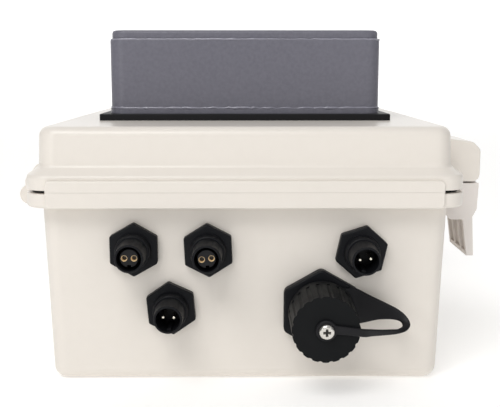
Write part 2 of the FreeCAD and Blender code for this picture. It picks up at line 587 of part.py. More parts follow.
def pod_lid():
    half = POD_HALF - LID_INSET
    lid = block(half, half, POD_R - 0.5, POD_TOP, LID_TOP)
    lid = round_edges(lid, 1.5, flat_at(LID_TOP))
    plug = block(POD_HALF - 3.3, POD_HALF - 3.3, 4.2, POD_TOP - 1.0, POD_TOP + 1)
    lid = fuse([lid, plug])
    recess = block(PANEL_HALF + 0.4, PANEL_HALF + 0.4, 1.5, LID_TOP - 3.0, LID_TOP + 1)
    holes = [recess, Part.makeCylinder(4.0, 20, Vec(0, 30.0, POD_TOP - 5))]
    for x, y in corners(LID_SCREW, LID_SCREW):
        holes.append(Part.makeCylinder(1.65, 20, Vec(x, y, POD_TOP - 5)))
        holes.append(Part.makeCylinder(3.1, 5, Vec(x, y, LID_TOP - 1.9)))
    return cut(lid, holes)


def solar_panel():
    return block(PANEL_HALF, PANEL_HALF, 1.2, LID_TOP - 3.0, LID_TOP - 1.4)


def solar_glass():
    glass = block(PANEL_HALF, PANEL_HALF, 1.2, LID_TOP - 1.4, LID_TOP - 0.3)
    return round_edges(glass, 0.3, flat_at(LID_TOP - 0.3))


def lid_screws():
    screw = pan_screw(2.8, 1.8, 1.2, 9.0)
    return [placed(screw, x, y, LID_TOP - 1.9) for x, y in corners(LID_SCREW, LID_SCREW)]


def pod_screws():
    screw = flipped(pan_screw(3.2, 2.2, 1.6, 12.0))
    return [placed(screw, x, y, COVER_TOP - COVER_WALL) for x, y in corners(50.0, 50.0)]


def antenna_board():
    """Radio board with a patch antenna, on the pod's floor."""
    floor = COVER_TOP + POD_SEAL[2] + 3.0
    board = box(-24.0, 24.0, 16.0, 54.0, floor + 3.0, floor + 4.6)
    patch = box(-12.5, 12.5, 22.0, 47.0, floor + 4.6, floor + 8.6)
    feet = [Part.makeCylinder(2.5, 3.0, Vec(x, y, floor)) for x in (-20.0, 20.0) for y in (20.0, 50.0)]
    return fuse([board, patch] + feet)


# ---------------------------------------------------------------- inside the base
def mounting_plate():
    half_x, half_y, thick = PLATE
    sheet = block(half_x, half_y, 6.0, BOSS_TOP, BOSS_TOP + thick)
    holes = [Part.makeCylinder(1.75, 9, Vec(x, y, BOSS_TOP - 2)) for x, y in corners(*BOSS)]
    return cut(sheet, holes)


def plate_screws():
    screw = pan_screw(3.6, 2.4, 1.65, 6.6)
    return [placed(screw, x, y, BOSS_TOP + PLATE[2]) for x, y in corners(*BOSS)]


def controller_board():
    half, y0, y1 = BOARD
    mid = ((y0 + y1) / 2, (y1 - y0) / 2)
    board = block(half, mid[1], 3.0, BOARD_BOTTOM, BOARD_BOTTOM + BOARD_THICK, (0.0, mid[0]))
    return cut(board, [Part.makeCylinder(1.7, 9, Vec(x, y, BOARD_BOTTOM - 3)) for x, y in BOARD_HOLES])


def board_standoffs():
    foot = BOSS_TOP + PLATE[2]
    made = []
    for x, y in BOARD_HOLES:
        post = placed(hex_prism(5.5, foot, BOARD_BOTTOM, 0.3), x, y, 0)
        made.append(post.cut(Part.makeCylinder(1.5, 9, Vec(x, y, BOARD_BOTTOM - 6))))
    return made


def board_screws():
    screw = pan_screw(2.8, 1.9, 1.45, 6.5)
    return [placed(screw, x, y, BOARD_BOTTOM + BOARD_THICK) for x, y in BOARD_HOLES]


def terminal_block(x0, ways):
    """Row of screw terminals at the board's near edge, wire mouths facing the connectors."""
    pitch, depth, height = 5.08, 9.6, 10.0
    z0, y0 = BOARD_BOTTOM + BOARD_THICK, BOARD[1] + 3.0
    width = pitch * ways
    y1, z1 = y0 + depth, z0 + height
    outline = [(y0, z0), (y1, z0), (y1, z1 - 2.6), (y1 - 2.2, z1), (y0 + 1.0, z1), (y0, z1 - 1.6)]
    body = polygon_profile(outline, x0, x0 + width)
    cuts = []
    for i in range(ways):
        mid = x0 + pitch * (i + 0.5)
        cuts.append(box(mid - 1.7, mid + 1.7, y0 - 1, y0 + 5.0, z0 + 1.4, z0 + 5.2))
        cuts.append(Part.makeCylinder(1.9, 4.0, Vec(mid, y0 + 4.2, z0 + height - 2.4)))
    return cut(body, cuts)


def polygon_profile(points, x0, x1):
    """Prism of an outline given in Y and Z, from x0 to x1."""
    loop = [Vec(x0, y, z) for y, z in points]
    return Part.Face(Part.makePolygon(loop + loop[:1])).extrude(Vec(x1 - x0, 0, 0))


TERMINALS = (("terminal_block_valves", -47.0, 6), ("terminal_block_supply", 17.0, 6))


def terminal_screws():
    """Slotted clamp screws of both terminal blocks."""
    pitch = 5.08
    z = BOARD_BOTTOM + BOARD_THICK + 10.0 - 2.4
    made = []
    for _, x0, ways in TERMINALS:
        for i in range(ways):
            mid, y = x0 + pitch * (i + 0.5), BOARD[1] + 3.0 + 4.2
            head = Part.makeCylinder(1.8, 1.7, Vec(mid, y, z))
            made.append(head.cut(box(mid - 2, mid + 2, y - 0.3, y + 0.3, z + 0.8, z + 3)))
    return made


def radio_module():
    """Shielded radio module: small board with a metal can."""
    z0 = BOARD_BOTTOM + BOARD_THICK
    board = box(-14.0, 12.0, -20.0, 14.0, z0, z0 + 1.0)
    can = box(-12.6, 10.6, -18.6, 4.0, z0 + 1.0, z0 + 3.6)
    can = round_edges(can, 0.5, lambda e: e.BoundBox.ZMax > z0 + 3.5)
    return fuse([board, can])


def driver_chips():
    """Valve driver packages in a row behind the valve terminals."""
    z0 = BOARD_BOTTOM + BOARD_THICK
    chips = []
    for i in range(4):
        x = -44.0 + 11.0 * i
        body = box(x - 3.0, x + 3.0, -53.0, -45.0, z0 + 0.2, z0 + 1.9)
        legs = [box(x + s * 3.0 - (0.9 if s < 0 else 0), x + s * 3.0 + (0 if s < 0 else 0.9), -52.0 + 2.2 * k,
                    -51.2 + 2.2 * k, z0, z0 + 0.7) for s in (-1, 1) for k in range(4)]
        chips.append(fuse([round_edges(body, 0.3, flat_at(z0 + 1.9))] + legs))
    return chips


def pulse_capacitors():
    """Electrolytic capacitors that store the pulse for latching valves."""
    z0 = BOARD_BOTTOM + BOARD_THICK
    cans = []
    for x, y in ((32.0, -44.0), (46.0, -44.0), (32.0, -29.0)):
        can = Part.makeCylinder(6.2, 20.0, Vec(x, y, z0))
        can = round_edges(can, 0.8, lambda e: e.BoundBox.ZMin > z0 + 19.0)
        waist = Part.makeCylinder(8, 0.9, Vec(x, y, z0 + 2.2))
        waist = waist.cut(Part.makeCylinder(5.8, 2, Vec(x, y, z0 + 2)))
        cans.append(can.cut(waist))
    return cans


def processor_chip():
    z0 = BOARD_BOTTOM + BOARD_THICK
    body = round_edges(box(24.0, 36.0, 0.0, 12.0, z0 + 0.15, z0 + 1.6), 0.3, flat_at(z0 + 1.6))
    legs = [box(24.9 + 1.0 * i, 25.3 + 1.0 * i, -1.0 if s else 11.9, 0.1 if s else 13.0, z0, z0 + 0.6)
            for i in range(11) for s in (0, 1)]
    return fuse([body] + legs)


def battery_holder():
    """Open cradle for two cells with end walls, on the mounting plate."""
    z0 = BOSS_TOP + PLATE[2]
    y0, y1 = CELL_Y[0] - 10.6, CELL_Y[1] + 10.6
    half = CELL_LENGTH / 2 + 5.0
    body = round_edges(box(-half, half, y0, y1, z0, z0 + 14.0), 1.0, lambda e: e.BoundBox.ZLength > 5)
    hollows = [rod(CELL_R + 0.35, (-half + 3.0, y, z0 + 11.5), (half - 3.0, y, z0 + 11.5)) for y in CELL_Y]
    room = CELL_R + 0.35
    hollows += [box(-half + 3.0, half - 3.0, y - room, y + room, z0 + 11.5, z0 + 20) for y in CELL_Y]
    return cut(body, hollows)


def battery_cells():
    z = BOSS_TOP + PLATE[2] + 11.5
    cells = []
    for i, y in enumerate(CELL_Y):
        side = 1 if i else -1
        can = rod(CELL_R, (-CELL_LENGTH / 2, y, z), (CELL_LENGTH / 2, y, z))
        can = round_edges(can, 0.7, lambda e: e.BoundBox.XLength < 0.01)
        end = side * CELL_LENGTH / 2
        cells.append(fuse([can, rod(2.9, (end, y, z), (end + side * 1.2, y, z))]))
    return cells


def battery_contacts():
    """Bent spring plates between the cells and the holder's end walls."""
    z = BOSS_TOP + PLATE[2] + 11.5
    plates = []
    for i, y in enumerate(CELL_Y):
        for s in (-1, 1):
            button = s == (1 if i else -1)
            x = s * (CELL_LENGTH / 2 + (1.25 if button else 0.05))
            x0, x1 = sorted((x, s * (CELL_LENGTH / 2 + 1.95)))
            plates.append(box(x0, x1, y - 5.0, y + 5.0, z - 8.0, z + 6.0))
    return plates


# ---------------------------------------------------------------- leads, each held at both ends
def lead(points, radius):
    """Round lead along straight runs joined by tangent arcs, each arc as large as its runs allow."""
    pts = [Vec(*p) for p in points]
    edges, last = [], pts[0]
    for i in range(1, len(pts) - 1):
        back, ahead = pts[i - 1] - pts[i], pts[i + 1] - pts[i]
        turn = math.pi - back.getAngle(ahead)
        bend = 0.45 * min(back.Length, ahead.Length) / math.tan(turn / 2)
        trim = bend * math.tan(turn / 2)
        back.normalize()
        ahead.normalize()
        a, b = pts[i] + back * trim, pts[i] + ahead * trim
        inward = back + ahead
        inward.normalize()
        mid = pts[i] + inward * (bend / math.cos(turn / 2) - bend)
        edges.append(Part.LineSegment(last, a).toShape())
        edges.append(Part.Arc(a, mid, b).toShape())
        last = b
    edges.append(Part.LineSegment(last, pts[-1]).toShape())
    path = Part.Wire(edges)
    start = edges[0].tangentAt(edges[0].FirstParameter)
    ring = Part.Wire(Part.makeCircle(radius, pts[0], start))
    return path.makePipeShell([ring], True, False)


def out_of_wall(x, z, side, depth):
    """Point behind a connector: side along X, depth inwards from the outer face."""
    tilt = math.radians(DRAFT)
    return (x + side, wall_y(z) + depth * math.cos(tilt), z + depth * math.sin(tilt))


LEADS = {  # connector: the terminal ways its two leads go to, as (block, way)
    "valve_a": ((0, 0), (0, 1)),
    "valve_b": ((0, 4), (0, 5)),
    "sensor": ((0, 2), (0, 3)),
    "supply": ((1, 4), (1, 5)),
}


def connector_leads(pole):
    """The leads from one pole of every small connector to its terminal."""
    made = []
    z_in, y_in = BOARD_BOTTOM + BOARD_THICK + 3.3, BOARD[1] + 3.0 + 0.6
    for name, x, z, _, _, kind in SMALL:
        block_no, way = LEADS[name][pole]
        side = contact_places(kind)[pole]
        xt = TERMINALS[block_no][1] + 5.08 * (way + 0.5)
        tail = out_of_wall(x, z, side, 9.2)
        x0, y0, z0 = tail
        high = z > 45
        drop = z_in + (2.0 if high else 1.0)
        y_bend = y0 + 9.5
        middle = [(x0, y_bend, z0)]
        if high:
            middle += [(x0 + 0.35 * (xt - x0), y_bend + 3.0, z0 - 13.0), (xt, y_in - 9.0, drop)]
        else:
            middle += [(xt, y_in - 7.5, drop)]
        made.append(lead([tail] + middle + [(xt, y_in, z_in)], 1.15))
    made.append(battery_lead((-2.0, 2.0)[pole]))
    return made


def battery_lead(x):
    """Short lead from the battery holder's near wall over the board's edge to its header."""
    wall, plug = CELL_Y[0] - 10.6, BATTERY_HEADER[1] - 1.0
    low, high = BOARD_BOTTOM + BOARD_THICK + 1.8, BOARD_BOTTOM + BOARD_THICK + 3.3
    return lead([(x, wall, low), (x, wall - 4.4, low), (x, wall - 9.4, high), (x, plug, high)], 1.15)


def battery_header():
    y0, y1 = BATTERY_HEADER
    z0 = BOARD_BOTTOM + BOARD_THICK
    body = round_edges(box(-6.0, 6.0, y0, y1, z0, z0 + 6.6), 0.6, lambda e: e.BoundBox.ZMin > z0 + 6.5)
    window = box(-3.6, 3.6, y0 - 1.0, y0 + 1.2, z0 + 1.8, z0 + 5.0)
    holes = [rod(1.2, (x, y1 - 1.05, z0 + 3.3), (x, y1 + 1.0, z0 + 3.3)) for x in (-2.0, 2.0)]
    return cut(body, holes + [window])


def data_lead():
    """Jacketed lead from the jack to its header on the board."""
    start = out_of_wall(PORT_X, PORT_Z, 0.0, 9.4)
    end_y, end_z = -30.0, BOARD_BOTTOM + BOARD_THICK + 5.0
    return lead([start, (PORT_X, start[1] + 14.0, start[2] + 2.0), (12.0, -66.0, 44.0), (6.0, -48.0, 42.0),
                 (6.0, -39.0, end_z), (6.0, end_y, end_z)], 2.2)


def data_header():
    z0 = BOARD_BOTTOM + BOARD_THICK
    body = box(1.0, 11.0, -31.0, -24.0, z0, z0 + 8.0)
    return round_edges(body, 0.6, lambda e: e.BoundBox.ZMin > z0 + 7.9).cut(
        rod(2.3, (6.0, -33.0, z0 + 5.0), (6.0, -29.9, z0 + 5.0)))


# ---------------------------------------------------------------- everything, by node name
def all_nodes():
    nodes = {
        "enclosure_base": enclosure_base(),
        "enclosure_cover": enclosure_cover(),
        "cover_gasket": cover_gasket(),
        "hinge_pins": hinge_pins(),
        "latch_pins": latch_pins(),
        "latch_lever_front": latch_lever(LATCH_CENTRES[0]),
        "latch_lever_rear": latch_lever(LATCH_CENTRES[1]),
        "wall_inserts": wall_inserts(),
        "pod_gasket": pod_gasket(),
        "pod_shell": pod_shell(),
        "pod_lid": pod_lid(),
        "solar_panel": solar_panel(),
        "solar_glass": solar_glass(),
        "lid_screws": lid_screws(),
        "pod_screws": pod_screws(),
        "antenna_board": antenna_board(),
        "mounting_plate": mounting_plate(),
        "plate_screws": plate_screws(),
        "controller_board": controller_board(),
        "board_standoffs": board_standoffs(),
        "board_screws": board_screws(),
        "terminal_screws": terminal_screws(),
        "radio_module": radio_module(),
        "driver_chips": driver_chips(),
        "pulse_capacitors": pulse_capacitors(),
        "processor_chip": processor_chip(),
        "battery_holder": battery_holder(),
        "battery_cells": battery_cells(),
        "battery_contacts": battery_contacts(),
        "leads_negative": connector_leads(0),
        "leads_positive": connector_leads(1),
        "data_lead": data_lead(),
        "data_header": data_header(),
        "battery_header": battery_header(),
    }
    for name, x0, ways in TERMINALS:
        nodes[name] = terminal_block(x0, ways)
    for name, x, z, hex_turn, insert_turn, kind in SMALL:
        nodes[f"{name}_connector_body"] = on_wall(connector_body(kind), x, z, hex_turn)
        nodes[f"{name}_connector_insert"] = on_wall(connector_insert(kind), x, z, insert_turn)
        contacts = connector_contacts(kind)
        nodes[f"{name}_connector_contacts"] = [on_wall(c, x, z, insert_turn) for c in contacts]
    nodes["connector_seals"] = [on_wall(flat_seal(9.4, THREAD_R + 0.1), x, z) for _, x, z, _, _, _ in SMALL]
    nodes["connector_nuts"] = [on_wall(connector_nut(), x, z, turn) for _, x, z, turn, _, _ in SMALL]
    port = {
        "port_body": port_body(),
        "port_seal": flat_seal(15.0, PORT_THREAD_R + 0.1, 0.8),
        "port_nut": port_nut(),
        "port_jack": port_jack(),
        "port_cap": port_cap(),
        "port_cap_seal": port_cap_seal(),
        "port_cap_screw": placed(pan_screw(3.15, 2.1, 1.45, 7.0), 0, 0, CAP_FACE + TETHER_THICK + 0.1),
        "port_tether": port_tether(),
    }
    for name, shape in port.items():
        nodes[name] = on_wall(shape, PORT_X, PORT_Z)
    return nodes


def main():
    os.makedirs("parts", exist_ok=True)
    for old in os.listdir("parts"):
        os.remove(os.path.join("parts", old))
    for name, shape in all_nodes().items():
        solids = []
        for piece in (shape if isinstance(shape, list) else [shape]):
            solids += piece.Solids
        bad = [s for s in solids if not s.isValid() or s.Volume <= 0]
        volume = sum(s.Volume for s in solids)
        note = " BAD" if bad or not solids else ""
        print(f"{name}: {len(solids)} solids, {volume:.0f} mm3{note}")
        whole = solids[0] if len(solids) == 1 else Part.makeCompound(solids)
        whole.exportStep(f"parts/{name}.step")


main()
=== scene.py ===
"""Looks of the irrigation controller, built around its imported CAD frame. Metres, in the frame's axes."""
import json
import math

import bmesh
import bpy
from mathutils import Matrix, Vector, noise


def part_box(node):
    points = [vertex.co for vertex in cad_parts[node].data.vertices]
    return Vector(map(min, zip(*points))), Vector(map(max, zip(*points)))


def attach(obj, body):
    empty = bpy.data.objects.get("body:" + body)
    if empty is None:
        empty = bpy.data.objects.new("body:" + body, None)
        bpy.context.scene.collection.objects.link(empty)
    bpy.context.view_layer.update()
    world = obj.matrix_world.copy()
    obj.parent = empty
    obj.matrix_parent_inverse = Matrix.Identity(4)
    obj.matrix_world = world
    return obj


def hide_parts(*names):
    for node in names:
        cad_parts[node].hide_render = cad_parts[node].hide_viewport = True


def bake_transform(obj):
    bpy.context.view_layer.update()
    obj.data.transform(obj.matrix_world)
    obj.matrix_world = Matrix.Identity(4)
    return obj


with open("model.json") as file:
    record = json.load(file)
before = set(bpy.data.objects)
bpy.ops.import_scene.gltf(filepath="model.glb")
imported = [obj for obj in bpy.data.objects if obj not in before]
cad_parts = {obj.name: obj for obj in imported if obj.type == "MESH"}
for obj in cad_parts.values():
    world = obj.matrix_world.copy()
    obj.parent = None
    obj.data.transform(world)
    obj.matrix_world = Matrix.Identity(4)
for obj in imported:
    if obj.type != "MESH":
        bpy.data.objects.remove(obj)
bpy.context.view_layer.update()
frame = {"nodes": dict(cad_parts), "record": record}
NODES = frame["nodes"]
SCENE = bpy.context.scene
MM = 0.001


def mm(*values):
    """Millimetres to metres."""
    return [v * MM for v in values]


# ------------------------------------------------------------------ node graph helpers
class Graph:
    """A material's node tree, with short calls for the nodes it needs."""

    MIX_A, MIX_B, MIX_OUT = 6, 7, 2  # the mix node's colour sockets

    def __init__(self, name):
        self.material = bpy.data.materials.new(name)
        self.material.use_nodes = True
        self.tree = self.material.node_tree
        self.tree.nodes.clear()
        self.out = self.node("ShaderNodeOutputMaterial")
        self.shader = self.node("ShaderNodeBsdfPrincipled")
        self.link(self.shader.outputs[0], self.out.inputs[0])
        self.place = self.node("ShaderNodeTexCoord").outputs["Object"]

    def node(self, kind, **values):
        made = self.tree.nodes.new(kind)
        for key, value in values.items():
            setattr(made, key, value)
        return made

    def link(self, a, b):
        self.tree.links.new(a, b)

    def put(self, socket, value):
        """Links an output, or sets a plain value."""
        if isinstance(value, bpy.types.NodeSocket):
            self.link(value, socket)
        elif value is not None:
            if isinstance(value, (tuple, list)) and len(value) == 3 and socket.type == "RGBA":
                value = (*value, 1.0)
            socket.default_value = value

    def set(self, **values):
        """Sets or links inputs of the surface shader, named with underscores for spaces."""
        for key, value in values.items():
            self.put(self.shader.inputs[key.replace("_", " ")], value)

    def stretch(self, scale):
        n = self.node("ShaderNodeMapping")
        self.put(n.inputs["Vector"], self.place)
        n.inputs["Scale"].default_value = scale
        return n.outputs[0]

    def noise(self, scale, detail=3.0, rough=0.5, where=None):
        n = self.node("ShaderNodeTexNoise")
        self.put(n.inputs["Vector"], where or self.place)
        n.inputs["Scale"].default_value = scale
        n.inputs["Detail"].default_value = detail
        n.inputs["Roughness"].default_value = rough
        return n.outputs["Fac"]

    def cells(self, scale, where, jitter):
        n = self.node("ShaderNodeTexVoronoi")
        self.put(n.inputs["Vector"], where)
        n.inputs["Scale"].default_value = scale
        n.inputs["Randomness"].default_value = jitter
        return n.outputs["Distance"]

    def span(self, value, low, high, to_low, to_high):
        """Maps low..high to to_low..to_high, and holds the end values outside it."""
        n = self.node("ShaderNodeMapRange")
        self.put(n.inputs["Value"], value)
        for key, v in zip(("From Min", "From Max", "To Min", "To Max"), (low, high, to_low, to_high)):
            n.inputs[key].default_value = v
        return n.outputs[0]

    def math(self, operation, a, b=None):
        n = self.node("ShaderNodeMath", operation=operation)
        self.put(n.inputs[0], a)
        self.put(n.inputs[1], b)
        return n.outputs[0]

    def mix(self, amount, a, b):
        n = self.node("ShaderNodeMix", data_type="RGBA")
        self.put(n.inputs[0], amount)
        self.put(n.inputs[self.MIX_A], a)
        self.put(n.inputs[self.MIX_B], b)
        return n.outputs[self.MIX_OUT]

    def axes(self):
        n = self.node("ShaderNodeSeparateXYZ")
        self.put(n.inputs[0], self.place)
        return n.outputs

    def bump(self, height, distance, strength=1.0, under=None):
        n = self.node("ShaderNodeBump")
        n.inputs["Strength"].default_value = strength
        n.inputs["Distance"].default_value = distance
        self.put(n.inputs["Height"], height)
        self.put(n.inputs["Normal"], under)
        return n.outputs[0]


def scaled(colour, k):
    return tuple(min(1.0, c * k) for c in colour)


# ------------------------------------------------------------------ materials
def moulded(name, colour, rough, grain=900.0, depth=0.00004, spread=0.05, spec=0.5):
    """Moulded plastic or rubber: soft colour drift, uneven gloss and a fine moulded grain."""
    g = Graph(name)
    drift = g.span(g.noise(14.0, 2.0), 0.3, 0.7, 0.0, 1.0)
    base = g.mix(drift, scaled(colour, 1.0 - spread), scaled(colour, 1.0 + spread))
    gloss = g.span(g.noise(85.0, 4.0), 0.3, 0.7, rough * 0.88, rough * 1.14)
    fine = g.bump(g.noise(grain, 3.0, 0.6), depth, 0.5)
    g.set(Base_Color=base, Roughness=gloss, Normal=fine, Specular_IOR_Level=spec)
    return g.material


def metal(name, colour, rough, brushed=(1.0, 1.0, 1.0), grain=700.0, spread=0.06):
    """Turned, rolled or brushed metal, with fine lines where brushed stretches its noise."""
    g = Graph(name)
    lines = g.noise(grain, 4.0, 0.65, g.stretch(brushed))
    tint = g.span(g.noise(40.0, 3.0), 0.3, 0.7, 0.0, 1.0)
    g.set(Base_Color=g.mix(tint, scaled(colour, 1 - spread), scaled(colour, 1 + spread)), Metallic=1.0,
          Roughness=g.span(lines, 0.3, 0.7, rough * 0.8, rough * 1.3), Normal=g.bump(lines, 0.00003, 0.35))
    return g.material


def plain(name, colour, rough, metallic=0.0):
    """Small-part finish: slight mottling and a fine satin surface."""
    g = Graph(name)
    tone = g.span(g.noise(180.0, 3.0), 0.3, 0.7, 0.0, 1.0)
    g.set(Base_Color=g.mix(tone, scaled(colour, 0.88), scaled(colour, 1.12)), Metallic=metallic,
          Roughness=g.span(g.noise(400.0, 2.0), 0.3, 0.7, rough * 0.85, rough * 1.2),
          Normal=g.bump(g.noise(900.0, 2.0), 0.00002, 0.3), Specular_IOR_Level=0.5)
    return g.material


def case_white():
    """Glossy moulded warm white, with a fine mottle and soft orange-peel."""
    g = Graph("case_white_paint")
    base = g.mix(g.noise(240.0, 2.0), (0.765, 0.718, 0.658), (0.785, 0.739, 0.680))
    peel = g.bump(g.noise(95.0, 1.0, 0.4), 0.00010, 0.12)
    fine = g.bump(g.noise(1400.0, 2.0), 0.00001, 0.10, peel)
    gloss = g.span(g.noise(22.0, 1.0), 0.0, 1.0, 0.285, 0.325)
    g.set(Base_Color=base, Roughness=gloss, Normal=fine, Specular_IOR_Level=0.42)
    return g.material


def pod_paint(name="pod_paint_texture", lift=1.0, rough=0.34, spec=0.36):
    """Blue-grey textured paint: fine orange-peel over a faintly clouded tone."""
    g = Graph(name)
    mottle = g.span(g.noise(620.0, 4.0, 0.6), 0.35, 0.65, 0.0, 1.0)
    cloud = g.span(g.noise(9.0, 2.0), 0.3, 0.7, 0.0, 1.0)
    base = g.mix(mottle, scaled((0.138, 0.137, 0.168), lift), scaled((0.159, 0.157, 0.190), lift))
    base = g.mix(g.math("MULTIPLY", cloud, 0.16), base, scaled((0.190, 0.188, 0.222), lift))
    peel = g.bump(g.noise(260.0, 2.0, 0.5), 0.00016, 0.35)
    fine = g.bump(g.noise(1100.0, 3.0, 0.6), 0.00005, 0.5, peel)
    g.set(Base_Color=base, Roughness=g.span(mottle, 0.0, 1.0, rough * 1.1, rough * 0.9), Normal=fine,
          Specular_IOR_Level=spec)
    return g.material


def solar_cells():
    """Monocrystalline cells: dark blue squares with fine fingers, bus bars and a pale gap round each."""
    g = Graph("solar_cell_grid")
    x, y, _ = g.axes()
    cell_pitch, finger_pitch = 0.0248, 0.0011
    bar_pitch = cell_pitch / 3

    def away_from_line(value, step):
        folded = g.math("PINGPONG", value, step / 2)
        return g.math("MULTIPLY", folded, 2.0 / step)

    fingers = g.span(away_from_line(y, finger_pitch), 0.0, 0.22, 1.0, 0.0)
    bars = g.span(away_from_line(g.math("ADD", x, bar_pitch / 2), bar_pitch), 0.0, 0.10, 1.0, 0.0)
    gap_x = g.span(away_from_line(x, cell_pitch), 0.0, 0.055, 1.0, 0.0)
    gap_y = g.span(away_from_line(y, cell_pitch), 0.0, 0.055, 1.0, 0.0)
    tone = g.span(g.noise(55.0, 3.0), 0.3, 0.7, 0.0, 1.0)
    base = g.mix(tone, (0.006, 0.010, 0.034), (0.012, 0.020, 0.058))
    base = g.mix(g.math("MULTIPLY", fingers, 0.30), base, (0.30, 0.32, 0.36))
    base = g.mix(g.math("MULTIPLY", bars, 0.9), base, (0.62, 0.63, 0.64))
    base = g.mix(g.math("MAXIMUM", gap_x, gap_y), base, (0.66, 0.68, 0.70))
    g.set(Base_Color=base, Roughness=0.32, Normal=g.bump(g.math("MAXIMUM", fingers, bars), 0.00003, 0.4))
    return g.material


def solder_mask():
    """Circuit board: solder mask over copper traces that run in steps, with tinned vias."""
    g = Graph("board_solder_mask")
    x, y, _ = g.axes()
    wander = g.noise(26.0, 1.0)
    track_edge = (0.00035, 0.00042)
    across = g.math("ADD", x, g.math("MULTIPLY", g.math("SNAP", wander, 0.16), 0.02))
    along = g.math("ADD", y, g.math("MULTIPLY", g.math("SNAP", wander, 0.21), 0.02))
    tracks_x = g.span(g.math("PINGPONG", across, 0.0011), *track_edge, 1.0, 0.0)
    tracks_y = g.span(g.math("PINGPONG", along, 0.0013), *track_edge, 1.0, 0.0)
    which = g.span(g.noise(34.0, 0.0), 0.49, 0.51, 0.0, 1.0)
    other = g.math("SUBTRACT", 1.0, which)
    traces = g.math("ADD", g.math("MULTIPLY", which, tracks_x), g.math("MULTIPLY", other, tracks_y))
    vias = g.span(g.cells(230.0, g.stretch((1, 1, 0.001)), 0.8), 0.08, 0.10, 1.0, 0.0)
    base = g.mix(g.math("MULTIPLY", traces, 0.6), (0.008, 0.085, 0.035), (0.025, 0.17, 0.06))
    base = g.mix(vias, base, (0.62, 0.60, 0.50))
    g.set(Base_Color=base, Roughness=g.span(traces, 0.0, 1.0, 0.34, 0.26),
          Metallic=g.math("MULTIPLY", vias, 0.9), Normal=g.bump(traces, 0.00003, 0.6))
    return g.material


def clear_glass():
    """Cover glass, with faint smears."""
    g = Graph("clear_cover_glass")
    smear = g.span(g.noise(35.0, 5.0), 0.4, 0.8, 0.02, 0.10)
    g.set(Base_Color=(0.95, 0.98, 0.99), Roughness=smear, Transmission_Weight=1.0, IOR=1.45,
          Normal=g.bump(g.noise(20.0, 1.0), 0.00003, 0.15))
    return g.material


def cell_wrap():
    """Shrink-wrapped cell: teal sleeve with a pale band round it, and bare metal ends."""
    g = Graph("cell_shrink_wrap")
    x, _, _ = g.axes()
    band_middle = 0.006
    end = g.span(g.math("ABSOLUTE", x), 0.0312, 0.0316, 0.0, 1.0)
    band = g.span(g.math("ABSOLUTE", g.math("SUBTRACT", x, band_middle)), 0.0088, 0.0091, 1.0, 0.0)
    base = g.mix(g.noise(30.0), (0.035, 0.20, 0.28), (0.05, 0.26, 0.36))
    base = g.mix(band, base, (0.55, 0.57, 0.56))
    base = g.mix(end, base, (0.60, 0.60, 0.58))
    ripple = g.bump(g.noise(260.0, 3.0, 0.5, g.stretch((4.0, 0.6, 0.6))), 0.00008, 0.3)
    g.set(Base_Color=base, Roughness=0.28, Metallic=g.math("MULTIPLY", end, 0.9), Normal=ripple,
          Coat_Weight=0.3)
    return g.material


def capacitor_sleeve():
    """Capacitor: dark sleeve with a pale polarity stripe and a bare scored top."""
    g = Graph("capacitor_sleeve_stripe")
    x, _, z = g.axes()
    sleeve_top, stripe_start = 0.0443, 0.032
    top = g.span(z, sleeve_top, sleeve_top + 0.0001, 0.0, 1.0)
    stripe = g.span(g.math("PINGPONG", g.math("SUBTRACT", x, stripe_start), 0.007), 0.0052, 0.0054, 0.0, 1.0)
    base = g.mix(stripe, (0.012, 0.018, 0.055), (0.42, 0.44, 0.48))
    base = g.mix(top, base, (0.66, 0.66, 0.65))
    g.set(Base_Color=base, Roughness=g.span(top, 0.0, 1.0, 0.26, 0.36),
          Metallic=g.math("MULTIPLY", top, 0.95), Normal=g.bump(g.noise(500.0, 3.0), 0.00002, 0.4))
    return g.material


def strap_weave():
    """Black webbing."""
    g = Graph("strap_weave")
    x, y, z = g.axes()
    weft = g.math("SINE", g.math("MULTIPLY", g.math("ADD", y, z), 5200.0))
    warp = g.math("SINE", g.math("MULTIPLY", x, 6800.0))
    cloth = g.math("MULTIPLY", weft, warp)
    tone = g.mix(g.span(cloth, -1, 1, 0, 1), (0.010, 0.010, 0.011), (0.032, 0.032, 0.034))
    g.set(Base_Color=tone, Roughness=0.85, Normal=g.bump(cloth, 0.00012, 0.8), Specular_IOR_Level=0.2)
    return g.material


